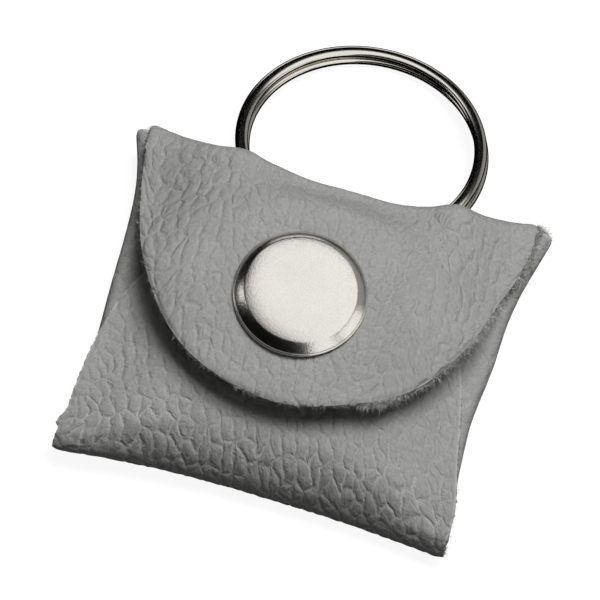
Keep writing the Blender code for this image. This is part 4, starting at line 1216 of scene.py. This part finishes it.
def make_cap(material):
    outside = cap_outside()
    inside = [(radius - CAP_SHEET * radius / CAP_RADIUS, height - CAP_SHEET)
              for radius, height in reversed(outside) if height - CAP_SHEET > CAP_LIP_HEIGHT]
    profile = outside + bead_points() + [(CAP_LIP_RADIUS, 0), (CAP_LIP_RADIUS, CAP_LIP_HEIGHT)] + inside
    return turned("cap_shell", profile, CAP_BASE, material, CAP_SHARP)


def ring_frame():
    """The ring's centre and its directions: across, along and out of its plane."""
    along = Vector((0, math.cos(RING_TILT_SHOWN), -math.sin(RING_TILT_SHOWN)))
    across = Vector((math.cos(RING_ROLL), 0, -math.sin(RING_ROLL)))
    normal = across.cross(along).normalized()
    along = normal.cross(across)
    rise = RING_OUTER_RADIUS * math.sin(RING_TILT_SHOWN) + RING_HALF_STACK
    return Vector((RING_X + RING_NUDGE[0], RING_Y + RING_NUDGE[1], rise)), across, along, normal


def wire_section():
    """The section of one turn of wire, as (outward, up) points."""
    section = []
    for step in range(SECTION_STEPS):
        turn = FULL_TURN * step / SECTION_STEPS
        outward, rise = [math.copysign(abs(part) ** (2 / WIRE_POWER), part)
                         for part in (math.cos(turn), math.sin(turn))]
        section.append((outward * WIRE_WIDTH_SHOWN / 2, rise * RING_WIRE_HEIGHT / 2))
    return section


def make_ring(material):
    """Two turns of flattened wire, as one closed tube."""
    centre, across, along, normal = ring_frame()
    radius = RING_WIRE_RADIUS - COIL_SHIFT / 2
    half_pitch = (RING_WIRE_HEIGHT + RING_COIL_GAP) / 2
    wire_end = 2 * FULL_TURN - RING_STEP
    start_angle = -QUARTER_TURN + RING_STEP / 2
    shift = across * COIL_SHIFT_SHARES[0] + along * COIL_SHIFT_SHARES[1]
    section = wire_section()
    verts = []
    for index in range(WIRE_STEPS + 1):
        travel = wire_end * index / WIRE_STEPS
        level = float(grown(travel, (FULL_TURN - RING_STEP, FULL_TURN)))
        axial = mix(-half_pitch, half_pitch, level)
        middle = centre + shift * mix(COIL_SHIFT, -COIL_SHIFT, level)
        outward = across * math.cos(start_angle + travel) + along * math.sin(start_angle + travel)
        for radial, up in section:
            verts.append(middle + outward * (radius + radial) + normal * (axial + up))
    faces = [(a, c, d, b) for a, b, c, d in strips(0, WIRE_STEPS + 1, SECTION_STEPS)]
    faces.append(list(range(SECTION_STEPS)))
    faces.append(list(reversed(range(WIRE_STEPS * SECTION_STEPS, (WIRE_STEPS + 1) * SECTION_STEPS))))
    return linked("split_ring_wire", verts, faces, material, WIRE_SHARP)


# Studio

def make_camera():
    right = VIEW_RIGHT.normalized()
    back = right.cross(VIEW_UP).normalized()
    turn = Matrix((right, back.cross(right), back)).transposed()
    data = bpy.data.cameras.new("camera")
    data.lens = VIEW_LENS
    data.sensor_width = SENSOR_WIDTH
    data.clip_start, data.clip_end = VIEW_CLIP
    camera = placed("camera", data)
    distance = VIEW_WIDTH * VIEW_LENS / SENSOR_WIDTH
    camera.matrix_world = Matrix.Translation(VIEW_CENTRE + back * distance) @ turn.to_4x4()
    bpy.context.scene.camera = camera


def make_key_light():
    light = bpy.data.lights.new("key", "AREA")
    light.shape = "SQUARE"
    light.size = KEY_SIZE
    light.energy = KEY_POWER
    key = placed("key", light)
    key.location = VIEW_CENTRE + KEY_DIRECTION * KEY_DISTANCE
    key.rotation_euler = (VIEW_CENTRE - key.location).to_track_quat("-Z", "Y").to_euler()
    key.visible_glossy = False


def seen_share(tree):
    """1 for rays that show the surroundings to the camera or in the metal, 0 for those that light things."""
    path = tree.nodes.new("ShaderNodeLightPath")
    seen = maths(tree, "MAXIMUM", path.outputs["Is Camera Ray"], path.outputs["Is Glossy Ray"])
    return maths(tree, "MAXIMUM", seen, path.outputs["Is Transmission Ray"])


def glowing(tree, strength):
    return chain(tree, "ShaderNodeEmission", {"Color": WHITE, "Strength": strength}).outputs[0]


def make_floor():
    """A dark floor that glows for the camera and in the metal, so that it looks white there."""
    corners = ((-1, -1), (1, -1), (1, 1), (-1, 1))
    verts = [(FLOOR_REACH * x, FLOOR_REACH * y, FLOOR_HEIGHT) for x, y in corners]
    material, tree, surface = new_material("floor_white")
    joined(tree, surface, {"Base Color": FLOOR_COLOUR, "Roughness": 1.0, "Specular IOR Level": 0.0})
    glow = glowing(tree, maths(tree, "MULTIPLY", seen_share(tree), FLOOR_GLOW))
    total = chain(tree, "ShaderNodeAddShader", {0: surface.outputs[0], 1: glow})
    joined(tree, tree.nodes["Material Output"], {"Surface": total.outputs[0]})
    floor = linked("floor", verts, [(0, 1, 2, 3)], material)


def make_world():
    world = bpy.data.worlds.new("studio")
    bpy.context.scene.world = world
    world.use_nodes = True
    tree = world.node_tree
    strength = maths(tree, "MULTIPLY_ADD", seen_share(tree), 1 - AMBIENT, AMBIENT)
    joined(tree, tree.nodes["Background"], {"Color": WHITE, "Strength": strength})


def card_share(card, direction, rise):
    """How much of a card shows at this direction and height, from 0 to 1."""
    start, end, low, high, soft, glow = card
    middle = (start + end) / 2
    aside = abs((direction - middle + 180) % 360 - 180) - (end - start) / 2
    over = max(low - rise, rise - high)
    edge = -aside if end - start < 360 else 360
    return float(ease(edge / soft) * ease(-over / soft))


def dome_glow(direction, rise):
    turn = math.radians(direction - SHADE_DIRECTION)
    towards = math.cos(turn) * math.cos(math.radians(rise))
    glow = 1 - float(grown(towards, SHADE_SPAN))
    for card in CARDS:
        glow = mix(glow, card[-1], card_share(card, direction, rise))
    return glow


def make_dome():
    """Black and grey cards in a white tent, as a photographer sets them round metal.

    The first three rows lie on the table: two dark ones, then one as bright as the foot of the dome.
    """
    rows = [(reach, DOME_FOOT) for reach in (0.0, DARK_TABLE, DARK_TABLE + DARK_TABLE_EDGE, DOME_RADIUS)]
    heights = [QUARTER_TURN * step / (DOME_ROWS - 1) for step in range(1, DOME_ROWS)]
    rows += [(DOME_RADIUS * math.cos(rise), DOME_RADIUS * math.sin(rise)) for rise in heights]
    verts = []
    glows = []
    for row, (reach, height) in enumerate(rows):
        rise = math.degrees(math.atan2(height, reach)) if row > 2 else 0
        for column in range(DOME_COLUMNS):
            turn = FULL_TURN * column / DOME_COLUMNS
            verts.append((reach * math.cos(turn), reach * math.sin(turn), height))
            glows.append(0.0 if row < 2 else dome_glow(math.degrees(turn), rise))
    faces = [(a, b, d, c) for a, b, c, d in strips(0, len(rows), DOME_COLUMNS)]
    material, tree, surface = new_material("cards")
    joined(tree, tree.nodes["Material Output"], {"Surface": glowing(tree, noted(tree, "glow"))})
    dome = linked("cards", verts, faces, material)
    note_values(dome.data, "glow", "FLOAT", "value", glows)
    dome.visible_camera = False
    dome.visible_diffuse = False
    dome.visible_shadow = False
    dome.visible_transmission = False


# The whole scene

def make_studio():
    make_camera()
    make_floor()
    make_dome()
    make_world()
    make_key_light()
    bpy.context.scene.view_settings.view_transform = "Standard"


def folded_blank():
    blank = Blank()
    panel = add_panel(blank)
    for side in (-1, 1):
        add_side_lobe(blank, side, panel)
    add_front_lobe(blank, panel)
    add_top_fold_and_flap(blank, panel)
    blank.close()
    pierce(blank, "flap")
    return blank


def make_leather():
    blank = folded_blank()
    skins = [grain_leather(), fibre_leather(*CUT_EDGE), fibre_leather(*FLESH_SIDE)]
    pocket_patches = ("panel", "left_lobe", "right_lobe", "front_lobe")
    pocket, pocket_cut = leather_piece("leather_pocket", blank, pocket_patches, skins, POCKET_SCUFF)
    flap, flap_cut = leather_piece("leather_flap", blank, ("flap",), skins, 0.0)
    for piece in (pocket, flap):
        raise_grain(piece)
    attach(pocket, "pouch")
    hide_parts("pouch_body")
    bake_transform(flap)
    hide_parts("top_fold", "flap")
    fluff = fibre_leather(*LOOSE_FIBRE)
    flap_fibres = add_fibres("flap_fibres", flap_cut, *FLAP_FIBRES, fluff)
    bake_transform(flap_fibres)
    pocket_fibres = add_fibres("pocket_fibres", pocket_cut, *POCKET_FIBRES, fluff)
    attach(pocket_fibres, "pouch")


def make_metal():
    bright = nickel(*BRIGHT_NICKEL)
    satin = nickel(*SATIN_NICKEL)
    cap = make_cap(satin)
    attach(cap, "flap_side")
    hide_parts("snap_cap")
    ring = make_ring(bright)
    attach(ring, "ring")
    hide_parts("split_ring")
    skins = {"snap_stud": satin, "stud_eyelet": satin, "snap_socket": satin,
             "cap_rivet": bright, "socket_spring": bright}
    for name, material in skins.items():
        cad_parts[name].data.materials.clear()
        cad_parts[name].data.materials.append(material)


make_studio()
make_leather()
make_metal()
